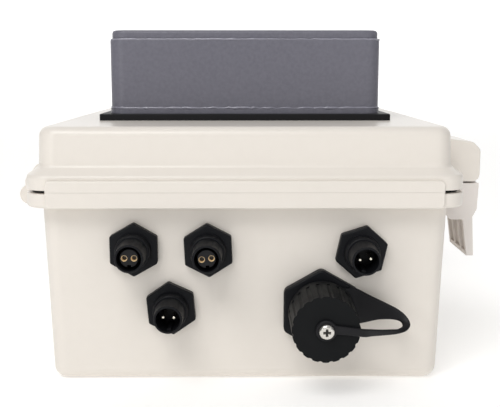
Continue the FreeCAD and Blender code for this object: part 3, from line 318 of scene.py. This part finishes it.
MATERIALS = {  # by the record's material slots
    "case_white": case_white(),
    "latch_white": moulded("latch_white_plastic", (0.745, 0.70, 0.665), 0.33, 700.0, 0.00003, 0.015, 0.4),
    "connector_black": moulded("connector_black_nylon", (0.0070, 0.0075, 0.0092), 0.46, 1500.0, 0.00006,
                               0.12, 0.14),
    "insert_grey": moulded("insert_dark_grey", (0.011, 0.011, 0.012), 0.5, 1500.0, 0.00004, 0.1, 0.2),
    "rubber_black": moulded("rubber_black_soft", (0.0065, 0.0065, 0.0080), 0.50, 600.0, 0.00006, 0.12, 0.24),
    "brass": metal("brass_turned", (0.86, 0.62, 0.30), 0.22),
    "pin_metal": metal("pin_tinned", (0.88, 0.84, 0.72), 0.18),
    "steel": metal("screw_nickel", (0.66, 0.64, 0.60), 0.24, grain=500.0),
    "pod_paint": pod_paint(),
    "solar_cells": solar_cells(),
    "clear_glass": clear_glass(),
    "plate_metal": metal("plate_brushed", (0.74, 0.75, 0.76), 0.34, (0.06, 1.0, 1.0), 900.0),
    "board_green": solder_mask(),
    "terminal_green": moulded("terminal_green_plastic", (0.022, 0.21, 0.075), 0.42, depth=0.00003),
    "chip_black": moulded("chip_black_epoxy", (0.014, 0.014, 0.015), 0.55, 2400.0, 0.00003, 0.08),
    "can_metal": metal("can_tinned_steel", (0.70, 0.70, 0.68), 0.30, (1.0, 0.2, 1.0)),
    "capacitor_sleeve": capacitor_sleeve(),
    "cell_wrap": cell_wrap(),
    "lead_black": moulded("lead_black_jacket", (0.012, 0.012, 0.013), 0.40, depth=0.00002),
    "lead_red": moulded("lead_red_jacket", (0.40, 0.012, 0.012), 0.38, depth=0.00002),
    "lead_grey": moulded("lead_grey_jacket", (0.13, 0.135, 0.14), 0.45, depth=0.00003),
}
CAP_BLACK = moulded("cap_black_nylon", (0.0072, 0.0078, 0.0085), 0.52, 1500.0, 0.00006, 0.12, 0.09)
WORN_BRASS = moulded("brass_worn_mouth", (0.86, 0.64, 0.36), 0.35, 1500.0, 0.00002, 0.1, 0.7)
# Painted shade: near-black material for pieces set where recesses and bores are only in shade.
RECESS_SHADOW = moulded("recess_shadow", (0.020, 0.019, 0.018), 0.6, 2000.0, 0.00002, 0.3)
# Painted highlight: the beads' copy of the pod paint is lifted 1.5 times lighter to stand in for glints
# along them.
POD_BEAD_HIGHLIGHT = pod_paint("pod_paint_bead_highlight", 1.5, 0.16, 0.9)
TIN = plain("solder_tin", (0.72, 0.72, 0.70), 0.22, 0.95)
CERAMIC = plain("ceramic_tan", (0.40, 0.27, 0.15), 0.45)
RESISTOR = plain("resistor_black", (0.015, 0.015, 0.017), 0.40)
SILK = plain("silkscreen_white", (0.72, 0.73, 0.70), 0.55)
LAMP_LENS = plain("led_lens_green", (0.10, 0.42, 0.12), 0.18)
FERRULE = plain("ferrule_white", (0.66, 0.66, 0.63), 0.38)


def smooth(obj, angle=32.0):
    """Smooth shading that keeps edges sharper than the angle."""
    mesh = obj.data
    mesh.shade_smooth()
    bm = bmesh.new()
    bm.from_mesh(mesh)
    for edge in bm.edges:
        edge.smooth = len(edge.link_faces) != 2 or edge.calc_face_angle(math.pi) < math.radians(angle)
    bm.to_mesh(mesh)
    bm.free()


def finish_cad_nodes():
    """Gives every CAD node the material of its slot. The port's cap has a duller black of its own."""
    slots = {s["node"]: s["material_slot"] for s in frame["record"]["subparts"]}
    for name, obj in NODES.items():
        obj.data.materials.clear()
        obj.data.materials.append(CAP_BLACK if name == "port_cap" else MATERIALS[slots[name]])
        smooth(obj)


# ------------------------------------------------------------------ shapes in mesh code
class Shape:
    """Collects closed solids in one mesh."""

    def __init__(self):
        self.bm = bmesh.new()

    def add(self, rings, loop=False):
        """Skins equally long rings of points, and caps both ends, or joins the last ring to the first."""
        rows = [[self.bm.verts.new(p) for p in ring] for ring in rings]
        count = len(rows[0])
        if loop:
            rows.append(rows[0])
        for low, high in zip(rows, rows[1:]):
            for i in range(count):
                j = (i + 1) % count
                self.bm.faces.new((low[i], low[j], high[j], high[i]))
        if not loop:
            self.bm.faces.new(rows[0][::-1])
            self.bm.faces.new(rows[-1])

    def lathe(self, profile, at, axis=(0, 0, 1), steps=32, loop=False):
        """Turns (radius, height) pairs in mm about an axis through a point: capped, or a closed ring."""
        turn = Vector((0, 0, 1)).rotation_difference(Vector(axis)).to_matrix()
        rings = []
        for radius, height in profile:
            r, h = mm(radius, height)
            ring = []
            for i in range(steps):
                a = 2 * math.pi * i / steps
                ring.append(turn @ Vector((r * math.cos(a), r * math.sin(a), h)) + Vector(at))
            rings.append(ring)
        self.add(rings, loop)

    def brick(self, low, high, bevel):
        """Block between two corners, in mm, with all its edges chamfered."""
        (x0, y0, z0), (x1, y1, z1) = mm(*low), mm(*high)
        b = min(bevel * MM, 0.45 * min(x1 - x0, y1 - y0, z1 - z0))

        def outline(inset, cut, z):
            a, c = x0 + inset, x1 - inset
            d, e = y0 + inset, y1 - inset
            return [(a + cut, d, z), (c - cut, d, z), (c, d + cut, z), (c, e - cut, z),
                    (c - cut, e, z), (a + cut, e, z), (a, e - cut, z), (a, d + cut, z)]

        self.add([outline(b, b * 0.6, z0), outline(0, b, z0 + b),
                  outline(0, b, z1 - b), outline(b, b * 0.6, z1)])

    def piece(self, name, slot, body, material=None, angle=40.0):
        """Makes an object of the mesh. It rides on the body, if any, and may have a material of its own."""
        bmesh.ops.recalc_face_normals(self.bm, faces=self.bm.faces[:])
        mesh = bpy.data.meshes.new(name)
        self.bm.to_mesh(mesh)
        self.bm.free()
        obj = bpy.data.objects.new(name, mesh)
        SCENE.collection.objects.link(obj)
        mesh.materials.append(material or MATERIALS[slot])
        smooth(obj, angle)
        if body:
            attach(obj, body)
        return obj


def mm_box(node):
    low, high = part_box(node)
    return [c / MM for c in low], [c / MM for c in high]


def spline(values, per_span):
    """Catmull-Rom curve through rows of numbers, per_span steps between two rows."""
    rows = []
    last = len(values) - 1
    for i in range(last):
        p0, p1 = values[max(i - 1, 0)], values[i]
        p2, p3 = values[i + 1], values[min(i + 2, last)]
        for k in range(per_span):
            t = k / per_span
            rows.append([0.5 * (2 * b + (c - a) * t + (2 * a - 5 * b + 4 * c - d) * t * t
                                + (3 * b - a - 3 * c + d) * t ** 3) for a, b, c, d in zip(p0, p1, p2, p3)])
    rows.append(list(values[-1]))
    return rows


def rounded_strip(outer, inner, lift, radius, steps=4):
    """Cross section of a flat band: from outer edge to inner edge, lift half thick, with round corners."""
    across = outer - inner
    half = across.length / 2
    across.normalize()
    up = lift.normalized()
    high = lift.length
    mid = (outer + inner) / 2
    ring = []
    for sx, sy, start in ((1, 1, 0), (-1, 1, 90), (-1, -1, 180), (1, -1, 270)):
        for k in range(steps + 1):
            a = math.radians(start + 90 * k / steps)
            ring.append(mid + across * (sx * (half - radius) + radius * math.cos(a))
                        + up * (sy * (high - radius) + radius * math.sin(a)))
    return ring


def remesh(obj, voxel, passes):
    """Joins a mesh's overlapping solids in one skin and softens it."""
    grid = obj.modifiers.new("one_skin", "REMESH")
    grid.mode = "VOXEL"
    grid.voxel_size = voxel
    soft = obj.modifiers.new("soften", "SMOOTH")
    soft.iterations = passes
    soft.factor = 0.5
    bpy.context.view_layer.update()
    seen = obj.evaluated_get(bpy.context.evaluated_depsgraph_get())
    mesh = bpy.data.meshes.new_from_object(seen)
    obj.modifiers.clear()
    obj.data = mesh
    mesh.shade_smooth()


# ------------------------------------------------------------------ the port's own frame
JOINTS = {j["name"]: j for j in frame["record"]["behaviour"]["joints"]}
PORT_AT = Vector(JOINTS["cap_turn"]["pos_m"])
PORT_OUT = Vector(JOINTS["cap_turn"]["axis"])
PORT_UP = PORT_OUT.cross(Vector((1, 0, 0)))


def from_port(u, v, w):
    """Point given in millimetres across, up and out from the port's middle on the wall."""
    return PORT_AT + (Vector((1, 0, 0)) * u + PORT_UP * v + PORT_OUT * w) * MM


# ------------------------------------------------------------------ the cap's tether
TETHER = (  # outer edge across, up; inner edge across, up; how far out
    (12.0, 11.3, 12.0, -6.3, 5.42), (15.4, 10.1, 15.4, -5.2, 5.5), (20.0, 7.8, 19.5, -4.1, 6.1),
    (24.8, 5.6, 23.5, -2.9, 7.0), (28.5, 4.0, 27.0, -2.3, 8.1), (31.2, 2.8, 29.6, -2.05, 9.2),
    (33.6, 1.3, 31.6, -2.12, 10.4), (35.2, -0.2, 32.7, -2.45, 11.6), (36.1, -1.6, 33.0, -2.85, 12.7),
    (36.3, -3.0, 33.0, -3.05, 13.8), (35.5, -4.2, 32.7, -3.3, 14.9), (34.0, -5.0, 31.8, -3.45, 16.0),
    (31.6, -5.3, 30.2, -3.5, 17.4), (28.9, -5.2, 28.3, -3.0, 19.0), (25.6, -4.7, 25.4, -2.35, 21.2),
    (22.2, -4.1, 22.2, -1.55, 23.6), (18.8, -3.4, 18.8, -0.5, 26.2), (15.8, -2.9, 15.8, 0.4, 28.6),
    (13.6, -2.5, 13.6, 0.8, 29.3), (9.0, -1.9, 9.0, 1.5, 29.32), (3.6, -1.4, 3.6, 2.2, 29.32),
)
TETHER_HALF = 0.75
TETHER_EDGE = 0.45
RING_FOOT, RING_TOP = 4.7, 4.7 + 1.45
RING_ROOT = [(8.2, 10.4), (15.2, 10.2), (15.2, -5.2), (11.2, -7.6), (12.2, -2.0), (12.3, 2.5), (10.4, 7.0)]


def flat_ring(shape, outer_r, inner_r, low, high):
    """Adds a flat ring round the port's axis, in mm, with chamfered outer edges."""
    edge, steps = 0.35, 72
    section = [(inner_r, low), (outer_r - edge, low), (outer_r, low + edge),
               (outer_r, high - edge), (outer_r - edge, high), (inner_r, high)]
    rings = []
    for i in range(steps):
        a = 2 * math.pi * i / steps
        rings.append([from_port(r * math.cos(a), r * math.sin(a), w) for r, w in section])
    shape.add(rings, loop=True)


def tether():
    """Moulded rubber: ring behind the cap, tapering arm, turn, rising strand and eyelet under the screw."""
    shape = Shape()
    rows = spline(TETHER, 6)
    middles = [from_port((a + c) / 2, (b + d) / 2, w) for a, b, c, d, w in rows]
    rings = []
    for i, (a, b, c, d, w) in enumerate(rows):
        along = middles[min(i + 1, len(rows) - 1)] - middles[max(i - 1, 0)]
        outer, inner = from_port(a, b, w), from_port(c, d, w)
        lift = along.cross(outer - inner).normalized() * TETHER_HALF * MM
        rings.append(rounded_strip(outer, inner, lift, TETHER_EDGE * MM))
    shape.add(rings)
    flat_ring(shape, 13.6, 11.8, RING_FOOT, RING_TOP)
    flat_ring(shape, 4.3, 1.65, 28.57, 30.05)
    shape.add([[from_port(x, y, w) for x, y in RING_ROOT] for w in (RING_FOOT, RING_TOP)])
    obj = shape.piece("tether_moulding", "rubber_black", None)
    remesh(obj, 0.22 * MM, 6)
    obj.data.materials.clear()
    obj.data.materials.append(MATERIALS["rubber_black"])
    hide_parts("port_tether")
    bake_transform(obj)


# ------------------------------------------------------------------ screw recesses
ARM_REACH, ARM_HALF = 0.485, 0.155
RECESS_DEPTH = 0.62
CAP_SCREW_FOOT = 30.1
BOARD_MIDDLE_ROW = -20.0 * MM


def screw_crosses(name, body, head_r, head_h, places):
    """Painted shade for the cross recesses of pan-head screws: a small dark four-armed star at the bottom of
    each.
    """
    shape = Shape()
    arm, half = head_r * ARM_REACH * MM, head_r * ARM_HALF * MM
    for at, axis in places:
        axis = Vector(axis).normalized()
        side = Vector((1, 0, 0)) if abs(axis.x) < 0.5 else Vector((0, 1, 0))
        side = (side - axis * side.dot(axis)).normalized()
        other = axis.cross(side)
        outline = []
        for quarter in range(4):
            a = math.radians(90 * quarter)
            ahead = side * math.cos(a) + other * math.sin(a)
            left = other * math.cos(a) - side * math.sin(a)
            outline += [ahead * arm - left * half * 0.75, ahead * arm + left * half * 0.75,
                        ahead * half + left * half]
        floor = head_h * (1 - RECESS_DEPTH) * MM + 0.02 * MM
        shape.add([[Vector(at) + axis * (floor + lift * MM) + p * k for p in outline]
                   for lift, k in ((0.0, 1.0), (0.10, 1.0), (0.16, 0.86))])
    shape.piece(name, "steel", body, RECESS_SHADOW)


def screw_group(name, body, node, head_r, head_h, facing=1, middle_row=()):
    """Crosses for the screws at the corners of a node's box, and at both ends of a row between them."""
    low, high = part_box(node)
    inset = head_r * MM
    z = high[2] - head_h * MM if facing > 0 else low[2] + head_h * MM
    rows = (low[1] + inset, *middle_row, high[1] - inset)
    places = [((x, y, z), (0, 0, facing)) for x in (low[0] + inset, high[0] - inset) for y in rows]
    screw_crosses(name, body, head_r, head_h, places)


def crosses():
    """Painted-shade crosses for all the screws, from their heads' radius and height in mm."""
    foot = from_port(0, 0, CAP_SCREW_FOOT)
    screw_crosses("cap_screw_recess", "cap_carrier", 3.15, 2.1, [(foot, PORT_OUT)])
    screw_group("lid_screw_recesses", "cover", "lid_screws", 2.8, 1.8)
    screw_group("plate_screw_recesses", "base", "plate_screws", 3.6, 2.4)
    screw_group("board_screw_recesses", "base", "board_screws", 2.8, 1.9, middle_row=(BOARD_MIDDLE_ROW,))
    screw_group("pod_screw_recesses", "cover", "pod_screws", 3.2, 2.2, facing=-1)


# ------------------------------------------------------------------ paint beads on the pod
def bead(name, half, corner, height, width, rough, seed):
    """Thin uneven run of paint round a rounded square, in mm, with small drops on it."""
    side_steps, corner_steps, round_steps = 90, 12, 8
    path = []
    flat = half - corner
    for quarter in range(4):
        turn = math.radians(90 * quarter)
        for k in range(side_steps):
            path.append((half, -flat + 2 * flat * k / side_steps, turn))
        for k in range(corner_steps):
            a = math.radians(90 * k / corner_steps)
            path.append((flat + corner * math.cos(a), flat + corner * math.sin(a), turn))
    rings = []
    for i, (px, py, turn) in enumerate(path):
        c, s = math.cos(turn), math.sin(turn)
        mid = Vector((px * c - py * s, px * s + py * c, 0))
        jag = noise.noise(Vector((i * 0.31, seed, 0))) + 0.7 * noise.noise(Vector((i * 0.9, seed, 3)))
        long_wave = noise.noise(Vector((i * 0.045, seed, 7)))
        thick = width * max(0.25, 1 + rough * (jag + 1.2 * long_wave))
        lift = width * 0.5 * rough * noise.noise(Vector((i * 0.5, seed, 11)))
        outward = mid.normalized()
        ring = []
        for k in range(round_steps):
            a = 2 * math.pi * k / round_steps
            spot = mid + outward * (thick * 0.5 * math.cos(a))
            ring.append(Vector((spot.x, spot.y, height + lift + thick * 0.5 * math.sin(a))) * MM)
        rings.append(ring)
    shape = Shape()
    shape.add(rings, loop=True)
    # The bead gets the lighter copy of the pod paint, a painted highlight.
    shape.piece(name, "pod_paint", "cover", POD_BEAD_HIGHLIGHT, 60.0)


def pod_beads():
    """Paint beads along the lid's seam and over the foot of the walls, in a lighter, glossier copy of the
    pod paint; the lighter colour is a painted highlight.
    """
    low, high = mm_box("pod_shell")
    half = (high[0] - low[0]) / 2 - 0.35
    bead("pod_seam_bead", half - 0.35, 6.65, high[2], 1.0, 0.5, 1.3)
    bead("pod_foot_bead", half, 7.0, low[2] + 2.6, 1.1, 0.75, 4.1)


# ------------------------------------------------------------------ the board's small parts
BOARD_TOP = mm_box("controller_board")[1][2]
WAYS = 6  # screw clamps in each terminal block


def on_board(shape, x, y, width, length, height, bevel, foot=0.0):
    """Adds a block centred on x and y that stands on the board, or foot above it."""
    shape.brick([x - width / 2, y - length / 2, BOARD_TOP + foot],
                [x + width / 2, y + length / 2, BOARD_TOP + height], bevel)


def board_parts():
    """Rows of chip resistors and capacitors with tinned ends, near the driver chips and the processor."""
    ends, bodies, caps = Shape(), Shape(), Shape()
    end_width, lip = 0.56, 0.06

    def chip(target, x, y, along_x, length, width, height):
        dx, dy = (length, width) if along_x else (width, length)
        on_board(target, x, y, dx, dy, height, 0.08, 0.02)
        for s in (-0.5, 0.5):
            if along_x:
                on_board(ends, x + s * length, y, end_width, width + lip, height + 0.03, 0.06)
            else:
                on_board(ends, x, y + s * length, width + lip, end_width, height + 0.03, 0.06)

    for i in range(4):
        x = -44.0 + 11.0 * i
        for k in range(3):
            chip(bodies, x - 2.2 + 2.2 * k, -41.6, False, 2.0, 1.2, 0.5)
        chip(caps, x + 5.5, -49.0, False, 3.2, 1.6, 1.2)
    for i in range(7):
        chip(bodies, 19.5, -3.0 + 2.6 * i, True, 2.0, 1.2, 0.5)
        chip(caps, 41.0, -2.0 + 2.6 * i, True, 2.0, 1.25, 0.9)
    for i in range(6):
        chip(bodies, -48.0 + 3.4 * i, 24.0, False, 2.0, 1.2, 0.5)
        chip(caps, -48.0 + 3.4 * i, 19.5, False, 2.0, 1.25, 0.9)
    for i in range(5):
        chip(caps, -24.0, -16.0 + 4.4 * i, True, 3.2, 1.6, 1.1)
        chip(bodies, -30.0, -16.0 + 4.4 * i, True, 2.0, 1.2, 0.5)
    ends.piece("chip_ends", "can_metal", "base", TIN)
    bodies.piece("chip_resistors", "chip_black", "base", RESISTOR)
    caps.piece("chip_capacitors", "chip_black", "base", CERAMIC)


def board_extras():
    """Inductors, transistors, a crystal, lamps, a pin header and bare test pads."""
    dark, tin, lens = Shape(), Shape(), Shape()
    for x, y in ((-34.0, -31.0), (-20.0, -31.0)):
        on_board(dark, x, y, 8.0, 8.0, 3.6, 0.7)
        dark.lathe([(3.0, 0.0), (3.1, 0.25), (2.7, 0.45)], mm(x, y, BOARD_TOP + 3.55))
    for x, y in ((20.0, -40.0), (20.0, -28.0)):
        on_board(dark, x, y, 6.4, 6.0, 2.3, 0.25, 0.1)
        on_board(tin, x, y + 3.5, 5.4, 1.8, 0.55, 0.1)
        for s in (-2.3, 0.0, 2.3):
            on_board(tin, x + s, y - 3.65, 0.8, 1.9, 0.5, 0.1)
    on_board(tin, 31.0, 18.7, 8.0, 3.4, 2.4, 0.9, 0.1)
    for i in range(4):
        on_board(lens, 44.6 + 2.2 * i, 23.0, 1.2, 2.0, 0.8, 0.2)
    for i in range(6):
        y = -8.0 + 2.54 * i
        on_board(dark, 44.5, y, 2.5, 2.44, 2.5, 0.3)
        on_board(tin, 44.5, y, 0.64, 0.64, 8.2, 0.15, 2.4)
    for i in range(9):
        at = mm(-52.0 + 2.4 * (i % 3), -2.0 + 2.4 * (i // 3), BOARD_TOP)
        tin.lathe([(0.75, 0.0), (0.75, 0.03), (0.35, 0.04)], at, steps=16)
    dark.piece("board_packages", "chip_black", "base", RESISTOR)
    tin.piece("board_tinned_parts", "can_metal", "base", TIN)
    lens.piece("board_lamps", "chip_black", "base", LAMP_LENS)


def silkscreen():
    """White outlines round the parts and ticks beside the terminals. There is no lettering."""
    shape = Shape()
    half_width, sunk, proud = 0.11, 0.01, 0.025

    def line(x0, y0, x1, y1):
        shape.brick([min(x0, x1) - half_width, min(y0, y1) - half_width, BOARD_TOP - sunk],
                    [max(x0, x1) + half_width, max(y0, y1) + half_width, BOARD_TOP + proud], 0.008)

    def outline(x0, y0, x1, y1):
        line(x0, y0, x1, y0)
        line(x0, y1, x1, y1)
        line(x0, y0, x0, y1)
        line(x1, y0, x1, y1)

    outline(-39.2, -36.0, -14.8, -26.0)
    outline(22.4, -2.4, 37.6, 14.4)
    outline(-16.0, -22.0, 14.0, 16.0)
    outline(-50.0, 17.0, -29.0, 26.6)
    outline(-8.0, 18.6, 8.0, 28.4)
    outline(42.2, 20.8, 52.6, 24.9)
    for name in ("terminal_block_valves", "terminal_block_supply"):
        low, high = mm_box(name)
        pitch = (high[0] - low[0]) / WAYS
        edge = high[1] + 0.8
        for i in range(WAYS + 1):
            x = low[0] + pitch * i
            line(x, edge, x, edge + 1.4)
        line(low[0], edge, high[0], edge)
    shape.piece("board_silkscreen", "board_green", "base", SILK)


# ------------------------------------------------------------------ other details
def lead_ends():
    """White ferrules where the leads enter the terminals."""
    shape = Shape()
    ferrule = [(1.22, 0.0), (1.55, 0.5), (1.55, 2.4), (1.34, 3.4)]
    for name, ways in (("terminal_block_valves", range(WAYS)), ("terminal_block_supply", (4, 5))):
        low, high = mm_box(name)
        pitch = (high[0] - low[0]) / WAYS
        for i in ways:
            at = mm(low[0] + pitch * (i + 0.5), low[1] + 0.2, low[2] + 3.3)
            shape.lathe(ferrule, at, (0, -1, 0.16), 20)
    shape.piece("lead_ferrules", "lead_grey", "base", FERRULE)


def battery_strap():
    """Woven strap round both cells and the holder, down both sides to the plate."""
    low, high = mm_box("battery_holder")
    cell_top = mm_box("battery_cells")[1][2]
    half, gap, thick = 5.0, 0.15, 0.7
    strap_x, over_r, cell_r = 20.0, 9.45, 9.1
    y0, y1, foot = low[1] - gap, high[1] + gap, low[2] + 0.3
    middles = [(y0, foot), (y0, high[2] - 1.0), (y0 + 0.6, high[2] + 0.7)]
    for cell_y in (52.5, 72.5):
        for degrees in range(150, 29, -15):
            a = math.radians(degrees)
            middles.append((cell_y + over_r * math.cos(a), cell_top - cell_r + over_r * math.sin(a)))
    middles += [(y1 - 0.6, high[2] + 0.7), (y1, high[2] - 1.0), (y1, foot)]
    rings = []
    for i, (y, z) in enumerate(middles):
        back, ahead = middles[max(i - 1, 0)], middles[min(i + 1, len(middles) - 1)]
        along = Vector((0, ahead[0] - back[0], ahead[1] - back[1])).normalized()
        normal = Vector((1, 0, 0)).cross(along)
        mid = Vector((strap_x, y, z))
        corners = ((-half, 0), (half, 0), (half, thick), (-half, thick))
        rings.append([(mid + Vector((s, 0, 0)) + normal * t) * MM for s, t in corners])
    shape = Shape()
    shape.add(rings)
    shape.piece("battery_strap", "chip_black", "base", strap_weave(), 60.0)


def contact_fronts(node):
    """Middles of the outer ends of a connector's two contacts."""
    points = [v.co for v in NODES[node].data.vertices]
    reach = max(p.dot(PORT_OUT) for p in points)
    ends = [p for p in points if p.dot(PORT_OUT) > reach - 0.05 * MM]
    middle = sum(p.x for p in ends) / len(ends)
    groups = [[p for p in ends if p.x < middle], [p for p in ends if p.x > middle]]
    return [sum(group, Vector()) / len(group) for group in groups]


def socket_bores():
    """Tapered lead-ins at the mouths of the socket contacts, and dark plugs deep in the bores as painted
    shade.
    """
    mouths, bottoms = Shape(), Shape()
    taper = [(0.98, -1.3), (1.12, -1.3), (1.12, 0.02), (1.29, 0.02), (1.29, 0.12), (1.25, 0.14)]
    plug = [(1.09, -1.9), (1.09, -1.4), (0.9, -1.3)]
    for name in ("valve_a", "valve_b"):
        for front in contact_fronts(f"{name}_connector_contacts"):
            mouths.lathe(taper, front, PORT_OUT, 32, loop=True)
            bottoms.lathe(plug, front, PORT_OUT, 20)
    mouths.piece("socket_mouths", "brass", "base", WORN_BRASS)
    bottoms.piece("socket_bores", "insert_grey", "base", RECESS_SHADOW)


def cover_grommet():
    """Rubber grommet in the wire hole under the pod, closed by its own web."""
    ceiling = mm_box("enclosure_cover")[1][2] - 3.2
    profile = [(10.7, 1.0), (10.7, -0.03), (13.2, -0.05), (13.3, -1.1), (12.7, -1.8), (11.6, -2.1),
               (9.6, -2.1), (8.9, -1.4), (8.7, -0.6), (3.6, -0.2)]
    shape = Shape()
    shape.lathe(profile, mm(0, 0, ceiling), steps=48)
    shape.piece("cover_grommet", "rubber_black", "cover")


# ------------------------------------------------------------------ camera, light, floor
def sheet(name, graph, at, tilt):
    """Large square of paper for the stage."""
    grid = bmesh.new()
    bmesh.ops.create_grid(grid, x_segments=2, y_segments=2, size=2.5)
    mesh = bpy.data.meshes.new(name)
    grid.to_mesh(mesh)
    grid.free()
    obj = bpy.data.objects.new(name, mesh)
    obj.location = at
    obj.rotation_euler.x = math.radians(tilt)
    SCENE.collection.objects.link(obj)
    mesh.materials.append(graph.material)


def stage():
    """White paper: a floor, and a glowing sheet far behind, both faintly lit from within."""
    paper = Graph("floor_paper")
    tint = paper.mix(paper.noise(3.0), (0.78, 0.78, 0.78), (0.80, 0.80, 0.80))
    paper.set(Base_Color=tint, Roughness=0.9, Specular_IOR_Level=0.1, Emission_Color=(1.0, 0.985, 0.96),
              Emission_Strength=0.38)
    glow = Graph("backdrop_paper")
    tint = glow.mix(glow.noise(2.0), (0.60, 0.60, 0.60), (0.62, 0.62, 0.62))
    glow.set(Base_Color=tint, Roughness=1.0, Specular_IOR_Level=0.0, Emission_Color=(1.0, 1.0, 1.0),
             Emission_Strength=0.85)
    sheet("floor", paper, (0, 0, -0.0002), 0.0)
    sheet("backdrop", glow, (0, 2.4, 0.6), 90.0)


def room():
    """World that lights less from both sides, and looks white to the camera."""
    world = bpy.data.worlds.new("studio")
    world.use_nodes = True
    nodes, link = world.node_tree.nodes, world.node_tree.links.new
    sky = nodes["Background"]
    sky.inputs[0].default_value = (1.0, 1.0, 1.0, 1.0)
    split = nodes.new("ShaderNodeSeparateXYZ")
    link(nodes.new("ShaderNodeTexCoord").outputs["Generated"], split.inputs[0])
    side = nodes.new("ShaderNodeMath")
    side.operation = "ABSOLUTE"
    link(split.outputs[0], side.inputs[0])
    fall = nodes.new("ShaderNodeMapRange")
    for key, value in (("From Min", 0.35), ("From Max", 0.95), ("To Min", 0.56), ("To Max", 0.16)):
        fall.inputs[key].default_value = value
    link(side.outputs[0], fall.inputs["Value"])
    seen = nodes.new("ShaderNodeMath")
    seen.operation = "MAXIMUM"
    link(fall.outputs[0], seen.inputs[0])
    link(nodes.new("ShaderNodeLightPath").outputs["Is Camera Ray"], seen.inputs[1])
    link(seen.outputs[0], sky.inputs[1])
    SCENE.world = world


def lamp(name, at, size, power, colour=(1, 1, 1)):
    """Rectangular light aimed at the middle of the part."""
    aim = Vector((0, 0, 0.07))
    data = bpy.data.lights.new(name, "AREA")
    data.shape = "RECTANGLE"
    data.size, data.size_y = size
    data.energy = power
    data.color = colour
    obj = bpy.data.objects.new(name, data)
    obj.location = at
    obj.rotation_euler = (aim - Vector(at)).to_track_quat("-Z", "Y").to_euler()
    SCENE.collection.objects.link(obj)


def lights():
    """A large soft key high on the left, and a slim strip on each side."""
    lamp("key", (-0.52, -1.25, 1.58), (1.1, 0.8), 17.0, (1.0, 0.99, 0.98))
    lamp("left_strip", (-0.9, -1.25, 0.4), (0.12, 1.0), 2.2)
    lamp("right_strip", (0.95, -1.25, 0.4), (0.08, 1.0), 0.9)


def camera():
    """In front of the connector end, a little above it and looking slightly down."""
    data = bpy.data.cameras.new("camera")
    data.lens, data.sensor_width = 61.7, 36.0
    data.clip_start, data.clip_end = 0.01, 20.0
    obj = bpy.data.objects.new("camera", data)
    obj.location = (0.0, -0.467, 0.1337)
    obj.rotation_euler = (math.radians(90.0 - 8.9), 0.0, math.radians(-0.33))
    SCENE.collection.objects.link(obj)
    SCENE.camera = obj


finish_cad_nodes()
tether()
crosses()
pod_beads()
board_parts()
board_extras()
silkscreen()
lead_ends()
battery_strap()
socket_bores()
cover_grommet()
stage()
room()
lights()
camera()
SCENE.view_settings.view_transform = "Standard"
